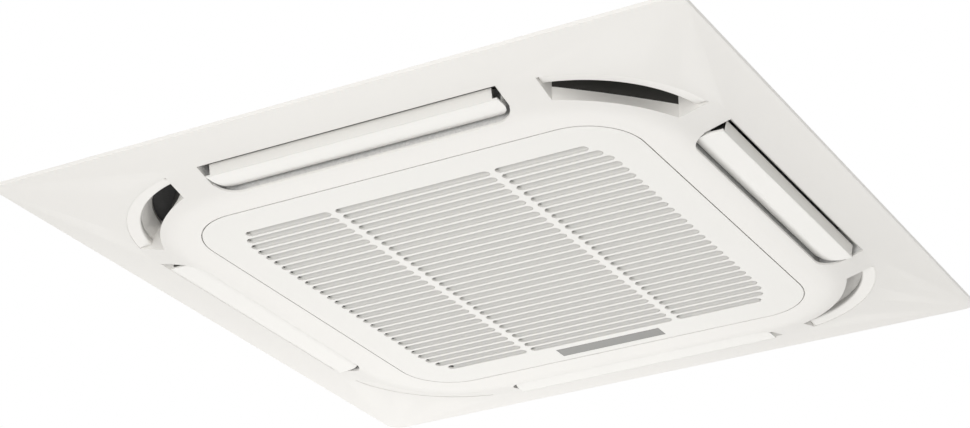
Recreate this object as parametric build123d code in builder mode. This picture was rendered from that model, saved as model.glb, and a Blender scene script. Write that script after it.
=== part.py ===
"""Ceiling cassette air conditioner with its square room panel, built from separate pieces.

Millimetres, +Z up. The origin is the centre of the four hanger slots, on the underside of the
hanger lugs. The room is below the unit. The panel's front side is -Y, its display side is +Y.
Pieces that repeat on the four sides are drawn once on the +Y side and turned about Z.
"""
from build123d import *
import math
import os

os.makedirs("parts", exist_ok=True)

# ----------------------------------------------------------------------------
# Driving dimensions
# ----------------------------------------------------------------------------
# Levels, from the hanger plane
ceiling_z = -175.0        # underside of the ceiling board, where the panel's flange rests
neck_height = 25.0        # from the ceiling to the underside of the casing
casing_height = 246.0
seal_thickness = 3.0

# Panel frame
panel_size = 950.0
panel_corner = 18.0
flange_edge = 5.0         # thickness of the flange at its rim
lip_size = 826.0          # outline where the flange turns into the sloping band
lip_radius = 196.0
lip_drop = 9.0            # how far the lip lies below the flange's rim
band_width = 45.0         # straight slope inside the lip
crown_width = 28.0        # rounding from the slope to the level face
crown_steps = 5
face_drop = 25.0          # how far the middle face lies below the flange's rim
skin = 3.0
rim_wall = 4.0
collar_wall = 2.5

# Air outlets
outlet_length = 416.0
outlet_inner = 354.0      # distance from the centre to the outlet's inner edge
outlet_outer = 412.0
outlet_bevel = 9.0        # slope from the outlet's outer edge up into the duct
outlet_corner = 30.0      # rounding of the outlet's two inner corners
return_height = 10.0      # how far the outlet's walls stand up behind the front
duct_undercut = 5.0       # how far the duct runs back behind the outlet's inner edge
neck_inner = 350.0        # the duct where it meets the casing
neck_outer = 396.0
neck_length = 400.0
slot_end = 258.0          # where the corner outlets stop along each side
scoop_lip = 2.0           # corner outlet's outer wall, measured inwards from the lip: at the lip,
scoop_knee = 20.0         # at the knee between its two slopes,
scoop_back = 32.0         # and at its top
scoop_island = 40.0       # corner outlet's inner edge, measured inwards from the lip
scoop_knee_rise = 1.0     # knee above the flange's rim
scoop_rise = 19.0         # top of the corner outlet above the flange's rim
scoop_straight = 23.0     # height in which the curved inner edge runs out into a straight one
scoop_flattest = 0.95     # share of the curve that is gone there
outlet_wall = 2.0         # walls of the outlets behind the front
slot_ceiling_z = -156.0
link_height = 12.0        # passage that feeds a corner outlet from its neighbours
link_outer_inset = 33.0   # that passage, measured inwards from the lip
link_inner_inset = 43.0
foam_joint = 243.0        # where the straight foam blocks meet the corner blocks
foam_half = 418.0
panel_screw_length = 16.0
seal_gap = 3.0            # from the ducts' edges to the foam seals
seal_width = 8.0
seal_cut = 0.5            # between the ends of two foam strips
tab_centre = 276.0        # screw tabs in the intake opening's corners
tab_size = 34.0
screw_radius = 2.5

# Intake opening and grille
grille_size = 618.0
grille_corner = 76.5
grille_gap = 1.5
grille_plate = 3.0
grille_draft = 1.5
ledge_width = 6.5
ledge_thickness = 3.0
ledge_gap = 0.8
slot_rows = 29
slot_pitch = 18.0
slot_width = 13.5
field_half = 262.5        # half-length of a full row of slots
field_corner = 90.0       # rounding of the slotted field
field_side = 198.0        # where that rounding begins
slat_depth = 10.0
slat_reach = 11.0
slat_thickness = 2.0
slat_root = 0.5           # how deep the slats root in the plate
bar_offset = 114.0
bar_width = 8.0
rim_height = 8.0          # stiffening rim on the grille's back
rim_inset = 13.5
display_length = 160.0
display_width = 24.0
display_y = 283.0
display_gap = 0.4
display_lip = 3.0         # how far the window's back overlaps the grille
window_lip = 1.5
board_thickness = 1.6
board_trim = 2.0          # board narrower than the window's opening, on each side
lamp_length = 6.0
lamp_width = 4.0
lamp_height = 4.0
receiver_size = 11.0

# Louvres
louver_length = 406.0
pivot_radius = 376.0      # distance from the centre to a louvre's axis
pivot_drop = 4.0          # how far the axis lies below the flange's rim
louver_rest = -1.5        # tilt of the blade as it stands, degrees
louver_hang = 14.0        # blade's face below its axis
louver_outer = 23.5       # blade's outer edge from the axis
louver_flat = 5.0         # where the flat turns into the curled inner edge
louver_curl = 34.0
louver_curl_angle = 31.0
louver_thickness = 2.2
louver_corner = 34.0
pivot_pin = 2.5
pivot_boss = 4.5
ear_inset = 3.0
ear_thickness = 2.5
pin_reach = 11.0          # how far the pins stand out past the blade's ends
running_gap = 0.06
bush_length = 6.0
bush_wall = 1.5
motor_radius = 10.0
motor_length = 18.0
motor_plate = 2.0

# Grille hinge
hinge_x = 200.0
hinge_y = 331.0
hinge_z = -188.0
hinge_pin = 2.5
arm_width = 10.0
arm_inner = 28.0          # the arm is an arc about the hinge, so that it clears the frame's edge
arm_outer = 33.0
arm_spoke_angle = 110.0
arm_spoke = 5.0
arm_eye = 5.5
cheek_gap = 0.6
cheek_width = 4.0
arm_slot_gap = 1.5
arm_slot_top_z = -157.0
cheek_depth = 14.0
cheek_over = 6.0          # how far the cheeks reach past the pin
hinge_pocket_width = 23.0
hinge_pocket_y = 341.0

# Push catches of the grille
catch_x = 180.0
catch_y = -301.0
catch_body = 12.0
plunger_radius = 3.5
plunger_length = 14.0
plunger_travel = 4.0
catch_play = 0.5
striker_height = 9.0
striker_radius = 2.5

# Filter
filter_length = 560.0
filter_width = 520.0
filter_bar = 9.0
filter_height = 5.0
filter_cloth = 0.8

# Casing
casing_size = 840.0
casing_chamfer = 130.0
sheet = 1.0
plate_joint = 0.3         # between two side plates at a corner
lining = 9.0
pan_height = 45.0
top_dish = 6.0            # how far the lid's middle is pressed up
top_dish_radius = 150.0
bead_length = 150.0
bead_width = 24.0

# Hanger lugs
hanger_pitch_x = 780.0
hanger_pitch_y = 710.0
hanger_slot_width = 12.0
hanger_slot_length = 26.0
lug_thickness = 3.0
lug_width = 110.0
lug_reach = 52.0
lug_height = 60.0
slot_margin = 8.0         # sheet left beyond the slot

# Coil
coil_gap = 72.0           # air space between the coil and the side lining
coil_depth = 40.0
coil_corner = 90.0
coil_bottom_z = -118.0
coil_height = 204.0
coil_leg = 148.0          # the two legs stop this far short of the coil's corner, which stays free
trough_gap = 4.0
tube_radius = 4.0
tube_bends = 6
bend_radius = 10.0
plate_thickness = 1.5
plate_margin = 2.0

# Fan and its motor
fan_radius = 240.0
hub_z = 60.0
dome_top_radius = 96.0
dome_floor_radius = 78.0
dome_floor_z = -6.0
hub_boss_radius = 14.0
hub_boss_height = 20.0
fan_sheet = 2.5
fan_blades = 7
blade_root = 118.0
blade_tip = 236.0
blade_sweep = 40.0
blade_belly = 17.0        # angle from the blade's root to its middle
blade_thickness = 3.5
blade_inlet_angle = 62.0  # where along the shroud the blades' inlet edges begin
blade_inlet_z = -10.0     # where those edges end, at the blades' roots
shroud_curve = 46.0
shroud_eye_z = -94.0
bell_curve = 46.0
bell_gap = 5.5            # clearance between the bell mouth and the fan's eye
bell_wall = 2.0
bell_throat = 10.0
bell_flange = 32.0
bell_flange_z = -140.0
pan_hole_gap = 2.0
motor_can_radius = 66.0
motor_can_height = 62.0
motor_lug_radius = 84.0
shaft_radius = 6.0
shaft_below = 14.0
nut_height = 6.0
nut_across = 17.0
mount_radius = 11.0
mount_height = 14.0
mount_waist = 8.8
lining_hole = 110.0

# Control box, let into the drain pan beside the bell mouth
box_inner_x = 238.0
box_outer_x = 284.0
box_half_y = 140.0
box_height = 38.0
box_wall = 1.0
box_gap = 1.0
board_width = 38.0
board_length = 240.0
standoff = 4.0

# Drain pump and float switch, placed from the coil's outer face
pump_inset_x = 48.0
pump_inset_y = 64.0
pump_radius = 24.0
pump_base_z = -96.0
pump_height = 44.0
volute_radius = 17.0
impeller_radius = 13.0
impeller_height = 8.0
impeller_shaft = 2.0
sump_radius = 30.0
sump_drop = 6.0
float_inset_x = 16.0
float_inset_y = 100.0
float_radius = 11.0
float_height = 16.0
float_cap = 8.8
float_stem = 3.0
float_travel = 10.0
float_play = 0.5
bracket_thickness = 2.0
bracket_width = 30.0
bracket_slot = 70.0
hose_radius = 9.0
hose_offset = 18.0        # drain hose's rise, outside the coil's outer face
hose_bend = 22.0
hose_start_z = -70.0

# Connections through the casing's side
drain_radius = 16.0
drain_bore = 12.5
drain_z = 40.0
drain_reach = 45.0
drain_inside = 20.0
gas_radius = 7.94
gas_y = 250.0
gas_z = -30.0
liquid_radius = 4.76
liquid_y = 222.0
liquid_z = 2.0
pipe_reach = 46.0
union_thread = 16.0       # length of the flare union's thread
union_hex = 12.0
union_socket = 12.0
union_wall = 2.0
union_shoulder = 2.5      # the hexagon's flats stand out this far past the thread
union_step = 1.0          # the union's bore is this much smaller in radius than the pipe
gas_thread = 11.11
liquid_thread = 7.94
pump_wall = 2.0
header_offset = 31.0      # from the end of the coil's leg
header_half = 75.0
header_radius = 11.0
feeder_radius = 2.5
pipe_bend = 24.0
cover_thickness = 2.0
cover_length = 66.0
cover_height = 64.0
cover_corner = 6.0
cable_y = 100.0
cable_z = -128.0
gland_radius = 12.0
gland_thread = 9.0
gland_bore = 5.0
gland_length = 20.0
fresh_air_x = 150.0
fresh_air_radius = 50.0
sensor_size = 8.0

# Casing screws
case_screw_head = 4.5
case_screw_shank = 2.0
case_screw_rise = 2.5

# ----------------------------------------------------------------------------
# Levels and outlines worked out from them
# ----------------------------------------------------------------------------
rim_z = ceiling_z - flange_edge
face_z = rim_z - face_drop
casing_z = ceiling_z + neck_height
casing_top_z = casing_z + casing_height
neck_z = casing_z - seal_thickness
pan_top_z = casing_z + pan_height
pivot_z = rim_z - pivot_drop
grille_back_z = face_z + grille_plate
front_z = face_z - skin   # cuts through the front start here
lip_z = rim_z - lip_drop
return_z = rim_z + return_height
scoop_top_z = rim_z + scoop_rise
opening_half = grille_size / 2 + grille_gap
rim_half = grille_size / 2 - rim_inset
wall_x = casing_size / 2
coil_half = wall_x - sheet - lining - coil_gap
coil_inner = coil_half - coil_depth
coil_open = coil_half - coil_leg
pump_x = coil_half - pump_inset_x
pump_y = coil_half - pump_inset_y
float_x = coil_half - float_inset_x
float_y = coil_half - float_inset_y
hose_x = coil_half + hose_offset
header_x = coil_open + header_offset
header_y = (coil_inner + coil_half) / 2
pin_half = arm_width / 2 + cheek_gap + cheek_width
slope = math.atan2(face_drop - lip_drop, band_width + crown_width / 2)
side_turns = {"back": 0, "left": 90, "front": 180, "right": 270}


def bulge_drop(inset):
    """Depth below the flange's rim at a distance inside the lip: a slope, then an arc to level."""
    if inset <= band_width:
        return lip_drop + inset * math.tan(slope)
    run = min(inset - band_width, crown_width)
    rise = run * math.tan(slope) * (1 - run / crown_width / 2)
    return lip_drop + band_width * math.tan(slope) + rise


def octagon(inset, mode=Mode.ADD):
    """The casing's outline in the current sketch, drawn in by inset."""
    half = casing_size / 2 - inset
    near = half - casing_chamfer + inset * (2 - math.sqrt(2))
    Polygon((half, near), (near, half), (-near, half), (-half, near),
            (-half, -near), (-near, -half), (near, -half), (half, -near), align=None, mode=mode)


# ----------------------------------------------------------------------------
# Panel frame
# ----------------------------------------------------------------------------
def bulge(lift, inset, top_z):
    """The panel's domed front as a solid up to top_z, raised by lift and with its rim drawn in."""
    rim_size = panel_size - 2 * inset
    levels = [0, band_width] + [band_width + crown_width * (i + 1) / crown_steps for i in range(crown_steps)]
    with BuildPart() as dome:
        with BuildSketch(Plane.XY.offset(rim_z + lift)) as rim:
            RectangleRounded(rim_size, rim_size, panel_corner - inset)
        extrude(amount=top_z - rim_z - lift)
        sections = [rim.sketch]
        for level in levels:
            with BuildSketch(Plane.XY.offset(rim_z + lift - bulge_drop(level))) as ring:
                RectangleRounded(lip_size - 2 * level, lip_size - 2 * level, lip_radius - level)
            sections.append(ring.sketch)
        loft(sections=sections, ruled=True)
    return dome.part


def outlet_throat(grow):
    """Outer half of a long outlet: a bevel from the lip to the throat, then a straight wall."""
    throat = outlet_outer - outlet_bevel + grow
    with BuildPart() as cut:
        with BuildSketch(Plane.YZ):
            Polygon((pivot_radius, front_z), (outlet_outer + grow, front_z), (outlet_outer + grow, lip_z),
                    (throat, rim_z), (throat, return_z), (pivot_radius, return_z), align=None)
        extrude(amount=outlet_length / 2, both=True)
    return cut.part


def scoop(grow):
    """One corner outlet, lofted upwards: two slopes outside, and inside a curve that straightens."""
    centre = lip_size / 2 - lip_radius
    end = slot_end - grow
    knee_z = rim_z + scoop_knee_rise
    with BuildPart() as cut:
        sections = []
        for level, inset in ((front_z, scoop_lip), (lip_z, scoop_lip), (knee_z, scoop_knee),
                             (scoop_top_z, scoop_back), (slot_ceiling_z, scoop_back)):
            straight = min((level - face_z) / scoop_straight, scoop_flattest)
            outer = lip_radius - inset + grow
            inner = lip_radius - scoop_island - grow
            outer_far = centre + math.sqrt(outer ** 2 - (end - centre) ** 2)
            inner_far = centre + math.sqrt(inner ** 2 - (end - centre) ** 2)
            outer_mid = centre + outer * math.cos(math.pi / 4)
            inner_mid = centre + inner * math.cos(math.pi / 4)
            inner_mid += ((end + inner_far) / 2 - inner_mid) * max(straight, 0)
            with BuildSketch(Plane.XY.offset(level)) as section:
                with BuildLine():
                    ThreePointArc((end, outer_far), (outer_mid, outer_mid), (outer_far, end))
                    Line((outer_far, end), (inner_far, end))
                    ThreePointArc((inner_far, end), (inner_mid, inner_mid), (end, inner_far))
                    Line((end, inner_far), (end, outer_far))
                make_face()
            sections.append(section.sketch)
        loft(sections=sections, ruled=True)
    return cut.part


with BuildPart() as outlet_cut:
    with BuildSketch(Plane.XY.offset(front_z)):
        with Locations((0, (outlet_inner + outlet_outer - outlet_bevel) / 2)):
            Rectangle(outlet_length, outlet_outer - outlet_bevel - outlet_inner)
        fillet(vertices().group_by(Axis.Y)[0], outlet_corner)
    extrude(amount=neck_z - front_z)
    add(outlet_throat(0))

with BuildPart() as duct_cut:
    sections = []
    for level in (front_z, return_z):
        with BuildSketch(Plane.XY.offset(level)) as mouth:
            with Locations((0, (outlet_inner - duct_undercut + outlet_outer - outlet_bevel) / 2)):
                Rectangle(outlet_length, outlet_outer - outlet_bevel - outlet_inner + duct_undercut)
        sections.append(mouth.sketch)
    with BuildSketch(Plane.XY.offset(neck_z)) as neck:
        with Locations((0, (neck_inner + neck_outer) / 2)):
            Rectangle(neck_length, neck_outer - neck_inner)
    loft(sections=sections + [neck.sketch], ruled=True)

# the motor stands beyond one end of the outlet, the plain bush beyond the other
with BuildPart() as motor_pocket:
    with BuildSketch(Plane.YZ.offset(louver_length / 2)):
        with Locations((pivot_radius, pivot_z)):
            Circle(motor_radius)
    extrude(amount=(outlet_length - louver_length) / 2 + motor_length + motor_plate)
with BuildPart() as bush_pocket:
    with BuildSketch(Plane.YZ.offset(-louver_length / 2)):
        with Locations((pivot_radius, pivot_z)):
            Circle(pivot_pin + running_gap + bush_wall)
    extrude(amount=(louver_length - outlet_length) / 2 - bush_length)

# passages above the motors, from each duct to the corner outlets beside it
with BuildPart() as link_cut:
    with BuildSketch(Plane.XY.offset(slot_ceiling_z - link_height)):
        link_outer = lip_size - 2 * link_outer_inset
        link_inner = lip_size - 2 * link_inner_inset
        RectangleRounded(link_outer, link_outer, lip_radius - link_outer_inset)
        RectangleRounded(link_inner, link_inner, lip_radius - link_inner_inset, mode=Mode.SUBTRACT)
        link_reach = (panel_size - neck_length) / 2
        with GridLocations(neck_length + link_reach, neck_length + link_reach, 2, 2):
            Rectangle(link_reach, link_reach, mode=Mode.INTERSECT)
    extrude(amount=link_height)

with BuildPart() as outlet_walls:
    for turn in side_turns.values():
        add(scoop(outlet_wall).rotate(Axis.Z, turn))
        add(outlet_throat(outlet_wall).rotate(Axis.Z, turn))
    add(bulge(0, 0, neck_z), mode=Mode.INTERSECT)

with BuildPart() as panel_frame:
    add(bulge(0, 0, ceiling_z))
    add(bulge(skin, rim_wall, ceiling_z), mode=Mode.SUBTRACT)
    # collar around the intake opening, with the ledge that the grille closes against
    with BuildSketch(Plane.XY.offset(face_z)):
        RectangleRounded(2 * (opening_half + collar_wall), 2 * (opening_half + collar_wall),
                         grille_corner + grille_gap + collar_wall)
    extrude(amount=neck_z - face_z)
    with BuildSketch(Plane.XY.offset(face_z)):
        RectangleRounded(2 * opening_half, 2 * opening_half, grille_corner + grille_gap)
    extrude(amount=neck_z - face_z, mode=Mode.SUBTRACT)
    with BuildSketch(Plane.XY.offset(grille_back_z + ledge_gap)):
        RectangleRounded(2 * opening_half, 2 * opening_half, grille_corner + grille_gap)
        ledge_half = opening_half - ledge_width
        RectangleRounded(2 * ledge_half, 2 * ledge_half, grille_corner - ledge_width, mode=Mode.SUBTRACT)
    extrude(amount=ledge_thickness)
    # tabs in the collar's corners, through which the panel is screwed to the casing
    with BuildSketch(Plane.XY.offset(neck_z - skin)):
        with GridLocations(2 * tab_centre, 2 * tab_centre, 2, 2):
            Rectangle(tab_size, tab_size)
        RectangleRounded(2 * opening_half + collar_wall, 2 * opening_half + collar_wall,
                         grille_corner + grille_gap + collar_wall / 2, mode=Mode.INTERSECT)
        with GridLocations(2 * tab_centre, 2 * tab_centre, 2, 2):
            Circle(screw_radius, mode=Mode.SUBTRACT)
    extrude(amount=skin)
    # air outlets in the sloping band, and the corner outlets between them
    add(outlet_walls.part)
    for turn in side_turns.values():
        add(outlet_cut.part.rotate(Axis.Z, turn), mode=Mode.SUBTRACT)
        add(scoop(0).rotate(Axis.Z, turn), mode=Mode.SUBTRACT)
    add(link_cut.part, mode=Mode.SUBTRACT)
    # slots for the hinge arms, and the cheeks that hold the hinge pins
    for side in (-1, 1):
        with BuildSketch(Plane.XY.offset(grille_back_z)):
            with Locations((side * hinge_x, opening_half - ledge_width)):
                Rectangle(arm_width + 2 * arm_slot_gap, 2 * (ledge_width + 2 * collar_wall))
        extrude(amount=arm_slot_top_z - grille_back_z, mode=Mode.SUBTRACT)
        with BuildSketch(Plane.XY.offset(grille_back_z)):
            cheek_offset = arm_width / 2 + cheek_gap + cheek_width / 2
            with Locations((side * hinge_x - cheek_offset, hinge_y), (side * hinge_x + cheek_offset, hinge_y)):
                Rectangle(cheek_width, cheek_depth)
        extrude(amount=hinge_z + cheek_over - grille_back_z)
        with BuildSketch(Plane.YZ.offset(side * hinge_x)):
            with Locations((hinge_y, hinge_z)):
                Circle(hinge_pin)
        extrude(amount=pin_half, both=True, mode=Mode.SUBTRACT)
panel_frame.part.label = "panel_frame"
export_step(panel_frame.part, "parts/panel_frame.step")

# Foam behind the band: the air ducts, and pockets for the motors and the hinges
with BuildPart() as foam_ring:
    with BuildSketch(Plane.XY.offset(face_z)):
        RectangleRounded(2 * foam_half, 2 * foam_half, lip_radius)
        RectangleRounded(2 * (opening_half + collar_wall), 2 * (opening_half + collar_wall),
                         grille_corner + grille_gap + collar_wall, mode=Mode.SUBTRACT)
    extrude(amount=neck_z - face_z)
    add(bulge(skin, rim_wall, neck_z), mode=Mode.INTERSECT)
    for turn in side_turns.values():
        add(duct_cut.part.rotate(Axis.Z, turn), mode=Mode.SUBTRACT)
        add(outlet_throat(outlet_wall).rotate(Axis.Z, turn), mode=Mode.SUBTRACT)
        add(scoop(outlet_wall).rotate(Axis.Z, turn), mode=Mode.SUBTRACT)
        add(motor_pocket.part.rotate(Axis.Z, turn), mode=Mode.SUBTRACT)
        add(bush_pocket.part.rotate(Axis.Z, turn), mode=Mode.SUBTRACT)
    add(link_cut.part, mode=Mode.SUBTRACT)
    with BuildSketch(Plane.XY.offset(face_z)):
        with GridLocations(2 * hinge_x, opening_half + hinge_pocket_y, 2, 2):
            Rectangle(hinge_pocket_width, hinge_pocket_y - opening_half)
        with Locations((0, -panel_size / 2)):
            Rectangle(panel_size, panel_size, mode=Mode.SUBTRACT)
    extrude(amount=neck_z - face_z - skin, mode=Mode.SUBTRACT)

with BuildPart() as corner_space:
    with BuildSketch(Plane.XY.offset(face_z)):
        with GridLocations(2 * foam_half, 2 * foam_half, 2, 2):
            Rectangle(2 * (foam_half - foam_joint), 2 * (foam_half - foam_joint))
    extrude(amount=neck_z - face_z)
with BuildPart() as duct_blocks:
    add(foam_ring.part)
    add(corner_space.part, mode=Mode.SUBTRACT)
duct_blocks.part.label = "duct_blocks"
export_step(duct_blocks.part, "parts/duct_blocks.step")

with BuildPart() as corner_blocks:
    add(foam_ring.part)
    add(corner_space.part, mode=Mode.INTERSECT)
corner_blocks.part.label = "corner_blocks"
export_step(corner_blocks.part, "parts/corner_blocks.step")

with BuildPart() as duct_seal:
    # four straight strips round the duct
    with BuildSketch(Plane.XY.offset(neck_z)):
        with Locations((0, (neck_inner + neck_outer) / 2)):
            inner_length = neck_length + 2 * seal_gap
            inner_width = neck_outer - neck_inner + 2 * seal_gap
            Rectangle(inner_length + 2 * seal_width, inner_width + 2 * seal_width)
            Rectangle(inner_length, inner_width, mode=Mode.SUBTRACT)
            with GridLocations(inner_length + seal_cut, 0, 2, 1):
                Rectangle(seal_cut, inner_width + 2 * seal_width, mode=Mode.SUBTRACT)
    extrude(amount=seal_thickness)
with BuildPart() as panel_seal:
    for turn in side_turns.values():
        add(duct_seal.part.rotate(Axis.Z, turn))
panel_seal.part.label = "panel_seal"
export_step(panel_seal.part, "parts/panel_seal.step")

with BuildPart() as panel_screws:
    head_z = neck_z - skin
    with BuildSketch(Plane.XY.offset(head_z)):
        with GridLocations(2 * tab_centre, 2 * tab_centre, 2, 2):
            Circle(2 * screw_radius)
    extrude(amount=-screw_radius)
    with BuildSketch(Plane.XY.offset(head_z)):
        with GridLocations(2 * tab_centre, 2 * tab_centre, 2, 2):
            Circle(screw_radius)
    extrude(amount=panel_screw_length)
    with BuildSketch(Plane.XY.offset(head_z - screw_radius)):
        with GridLocations(2 * tab_centre, 2 * tab_centre, 2, 2):
            Rectangle(3 * screw_radius, screw_radius / 3)
    extrude(amount=screw_radius / 2, mode=Mode.SUBTRACT)
panel_screws.part.label = "panel_screws"
export_step(panel_screws.part, "parts/panel_screws.step")

# ----------------------------------------------------------------------------
# Louvres, each a curved blade on two pins, one of them in the motor's hub
# ----------------------------------------------------------------------------
tilt = math.radians(louver_rest)
blade_plane = Plane(origin=(0, pivot_radius, pivot_z), x_dir=(0, math.cos(tilt), math.sin(tilt)), z_dir=(1, 0, 0))
plan_plane = Plane(origin=(0, pivot_radius, pivot_z), x_dir=(-1, 0, 0), z_dir=blade_plane.y_dir * -1)
blade_inner = louver_flat + louver_curl * math.sin(math.radians(louver_curl_angle)) + louver_thickness

with BuildPart() as louver:
    with BuildSketch(blade_plane.offset(-louver_length / 2)):
        with BuildLine():
            curl_centre = (-louver_flat, -louver_hang + louver_curl)
            curl_sweep = -louver_curl_angle
            under = CenterArc(curl_centre, louver_curl, -90, curl_sweep)
            over = CenterArc(curl_centre, louver_curl - louver_thickness, -90, curl_sweep)
            Line(under @ 1, over @ 1)
            tip = (louver_outer, -louver_hang + louver_thickness / 2)
            Line(under @ 0, (louver_outer - louver_thickness, -louver_hang))
            ThreePointArc((louver_outer - louver_thickness, -louver_hang), tip,
                          (louver_outer - louver_thickness, -louver_hang + louver_thickness))
            Line((louver_outer - louver_thickness, -louver_hang + louver_thickness), over @ 0)
        make_face()
    extrude(amount=louver_length)
    # the blade's plan: its two inner corners follow the outlet's rounded ends
    with BuildSketch(plan_plane):
        with Locations((0, (louver_outer - blade_inner) / 2)):
            Rectangle(louver_length, louver_outer + blade_inner)
        fillet(vertices().group_by(Axis.Y)[0 if plan_plane.y_dir.Y > 0 else -1], louver_corner)
    extrude(amount=2 * louver_curl, both=True, mode=Mode.INTERSECT)
    # end ears that carry the pins
    for end in (-1, 1):
        with BuildSketch(blade_plane.offset(end * (louver_length / 2 - ear_inset))):
            Circle(pivot_boss)
            with Locations((0, -(louver_hang - louver_thickness) / 2)):
                Rectangle(2 * pivot_boss, louver_hang - louver_thickness)
        extrude(amount=-end * ear_thickness)
        with BuildSketch(blade_plane.offset(end * (louver_length / 2 - ear_inset))):
            Circle(pivot_pin)
        extrude(amount=end * (ear_inset + pin_reach))
for side, turn in side_turns.items():
    blade = louver.part.rotate(Axis.Z, turn)
    blade.label = f"louver_{side}"
    export_step(blade, f"parts/louver_{side}.step")

with BuildPart() as louver_motor:
    with BuildSketch(Plane.YZ.offset(outlet_length / 2 + motor_plate)):
        with Locations((pivot_radius, pivot_z)):
            Circle(motor_radius)
    extrude(amount=motor_length)
    fillet(edges().sort_by(Axis.X)[-1], motor_plate / 2)
    with BuildSketch(Plane.YZ.offset(outlet_length / 2)):
        with Locations((pivot_radius, pivot_z)):
            Circle(motor_radius - motor_plate / 2)
    extrude(amount=motor_plate)
    with BuildSketch(Plane.YZ.offset(outlet_length / 2)):
        with Locations((pivot_radius, pivot_z)):
            Circle(pivot_pin + running_gap)
    extrude(amount=pin_reach, mode=Mode.SUBTRACT)
for side, turn in side_turns.items():
    motor = louver_motor.part.rotate(Axis.Z, turn)
    motor.label = f"louver_motor_{side}"
    export_step(motor, f"parts/louver_motor_{side}.step")

with BuildPart() as bush:
    with BuildSketch(Plane.YZ.offset(-outlet_length / 2)):
        with Locations((pivot_radius, pivot_z)):
            Circle(pivot_pin + running_gap + bush_wall)
            Circle(pivot_pin + running_gap, mode=Mode.SUBTRACT)
    extrude(amount=-bush_length)
with BuildPart() as pivot_bushes:
    for turn in side_turns.values():
        add(bush.part.rotate(Axis.Z, turn))
pivot_bushes.part.label = "pivot_bushes"
export_step(pivot_bushes.part, "parts/pivot_bushes.step")

# ----------------------------------------------------------------------------
# Intake grille
# ----------------------------------------------------------------------------
def row_half(y):
    """Half-length of the slot row at y: full in the middle, drawn in where the field is rounded."""
    past = max(abs(y) - field_side, 0)
    return field_half - field_corner + math.sqrt(field_corner ** 2 - past ** 2)


def row_slots(y):
    """The three slots of one row, as (centre, length) pairs between the bars and the field's edge."""
    bar_edge = bar_offset + bar_width / 2
    end = row_half(y)
    side_length = end - bar_edge
    middle_length = 2 * (bar_offset - bar_width / 2)
    return ((0, middle_length), (bar_edge + side_length / 2, side_length), (-bar_edge - side_length / 2, side_length))


row_ys = [(row - (slot_rows - 1) / 2) * slot_pitch for row in range(slot_rows)]

# slats lean towards the front behind the slots, and hide what is above them
with BuildPart() as slats:
    with BuildSketch(Plane.YZ):
        with Locations([(y + slot_width / 2, grille_back_z - slat_root) for y in row_ys]):
            slat_top = slat_depth + slat_root
            Polygon((0, 0), (slat_thickness, 0), (slat_thickness - slat_reach, slat_top), (-slat_reach, slat_top),
                    align=None)
    extrude(amount=field_half, both=True)
    with BuildSketch(Plane.XY.offset(face_z)):
        RectangleRounded(2 * field_half, 2 * (field_side + field_corner), field_corner)
    extrude(amount=neck_z - face_z, mode=Mode.INTERSECT)

with BuildPart() as intake_grille:
    with BuildSketch(Plane.XY.offset(face_z)):
        RectangleRounded(grille_size, grille_size, grille_corner)
    extrude(amount=grille_plate, taper=math.degrees(math.atan(grille_draft / grille_plate)))
    with BuildSketch(Plane.XY.offset(grille_back_z)):
        RectangleRounded(2 * (rim_half + collar_wall), 2 * (rim_half + collar_wall), grille_corner)
        RectangleRounded(2 * rim_half, 2 * rim_half, grille_corner - collar_wall, mode=Mode.SUBTRACT)
    extrude(amount=rim_height)
    with BuildSketch(Plane.XY.offset(face_z)):
        for y in row_ys:
            for centre, length in row_slots(y):
                with Locations((centre, y)):
                    SlotOverall(length, slot_width)
        with Locations((0, display_y)):
            Rectangle(display_length + 2 * display_gap, display_width + 2 * display_gap)
    extrude(amount=grille_plate, mode=Mode.SUBTRACT)
    add(slats.part)
    # bars behind the ribs tie the slats together
    with BuildSketch(Plane.XY.offset(grille_back_z)):
        with GridLocations(2 * bar_offset, 0, 2, 1):
            Rectangle(slat_thickness, 2 * row_ys[-1] + slot_width)
    extrude(amount=slat_depth)
intake_grille.part.label = "intake_grille"
export_step(intake_grille.part, "parts/intake_grille.step")

with BuildPart() as display_window:
    with BuildSketch(Plane.XY.offset(face_z)):
        with Locations((0, display_y)):
            Rectangle(display_length, display_width)
    extrude(amount=grille_plate)
    fillet(edges().filter_by(Axis.Z), display_gap)
    with BuildSketch(Plane.XY.offset(grille_back_z)):
        with Locations((0, display_y - display_gap)):
            Rectangle(display_length + 2 * display_lip, display_width - 2 * display_gap)
    extrude(amount=window_lip)
display_window.part.label = "display_window"
export_step(display_window.part, "parts/display_window.step")

with BuildPart() as display_board:
    board_z = grille_back_z + window_lip
    with BuildSketch(Plane.XY.offset(board_z)):
        with Locations((0, display_y - display_gap)):
            Rectangle(display_length, display_width - 2 * board_trim)
    extrude(amount=board_thickness)
    with BuildSketch(Plane.XY.offset(board_z + board_thickness)):
        with GridLocations(display_length / 6, 0, 5, 1):
            with Locations((0, display_y)):
                Rectangle(lamp_length, lamp_width)
        with Locations((receiver_size - display_length / 2, display_y)):
            Rectangle(receiver_size, receiver_size)
    extrude(amount=lamp_height)
display_board.part.label = "display_board"
export_step(display_board.part, "parts/display_board.step")

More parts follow.
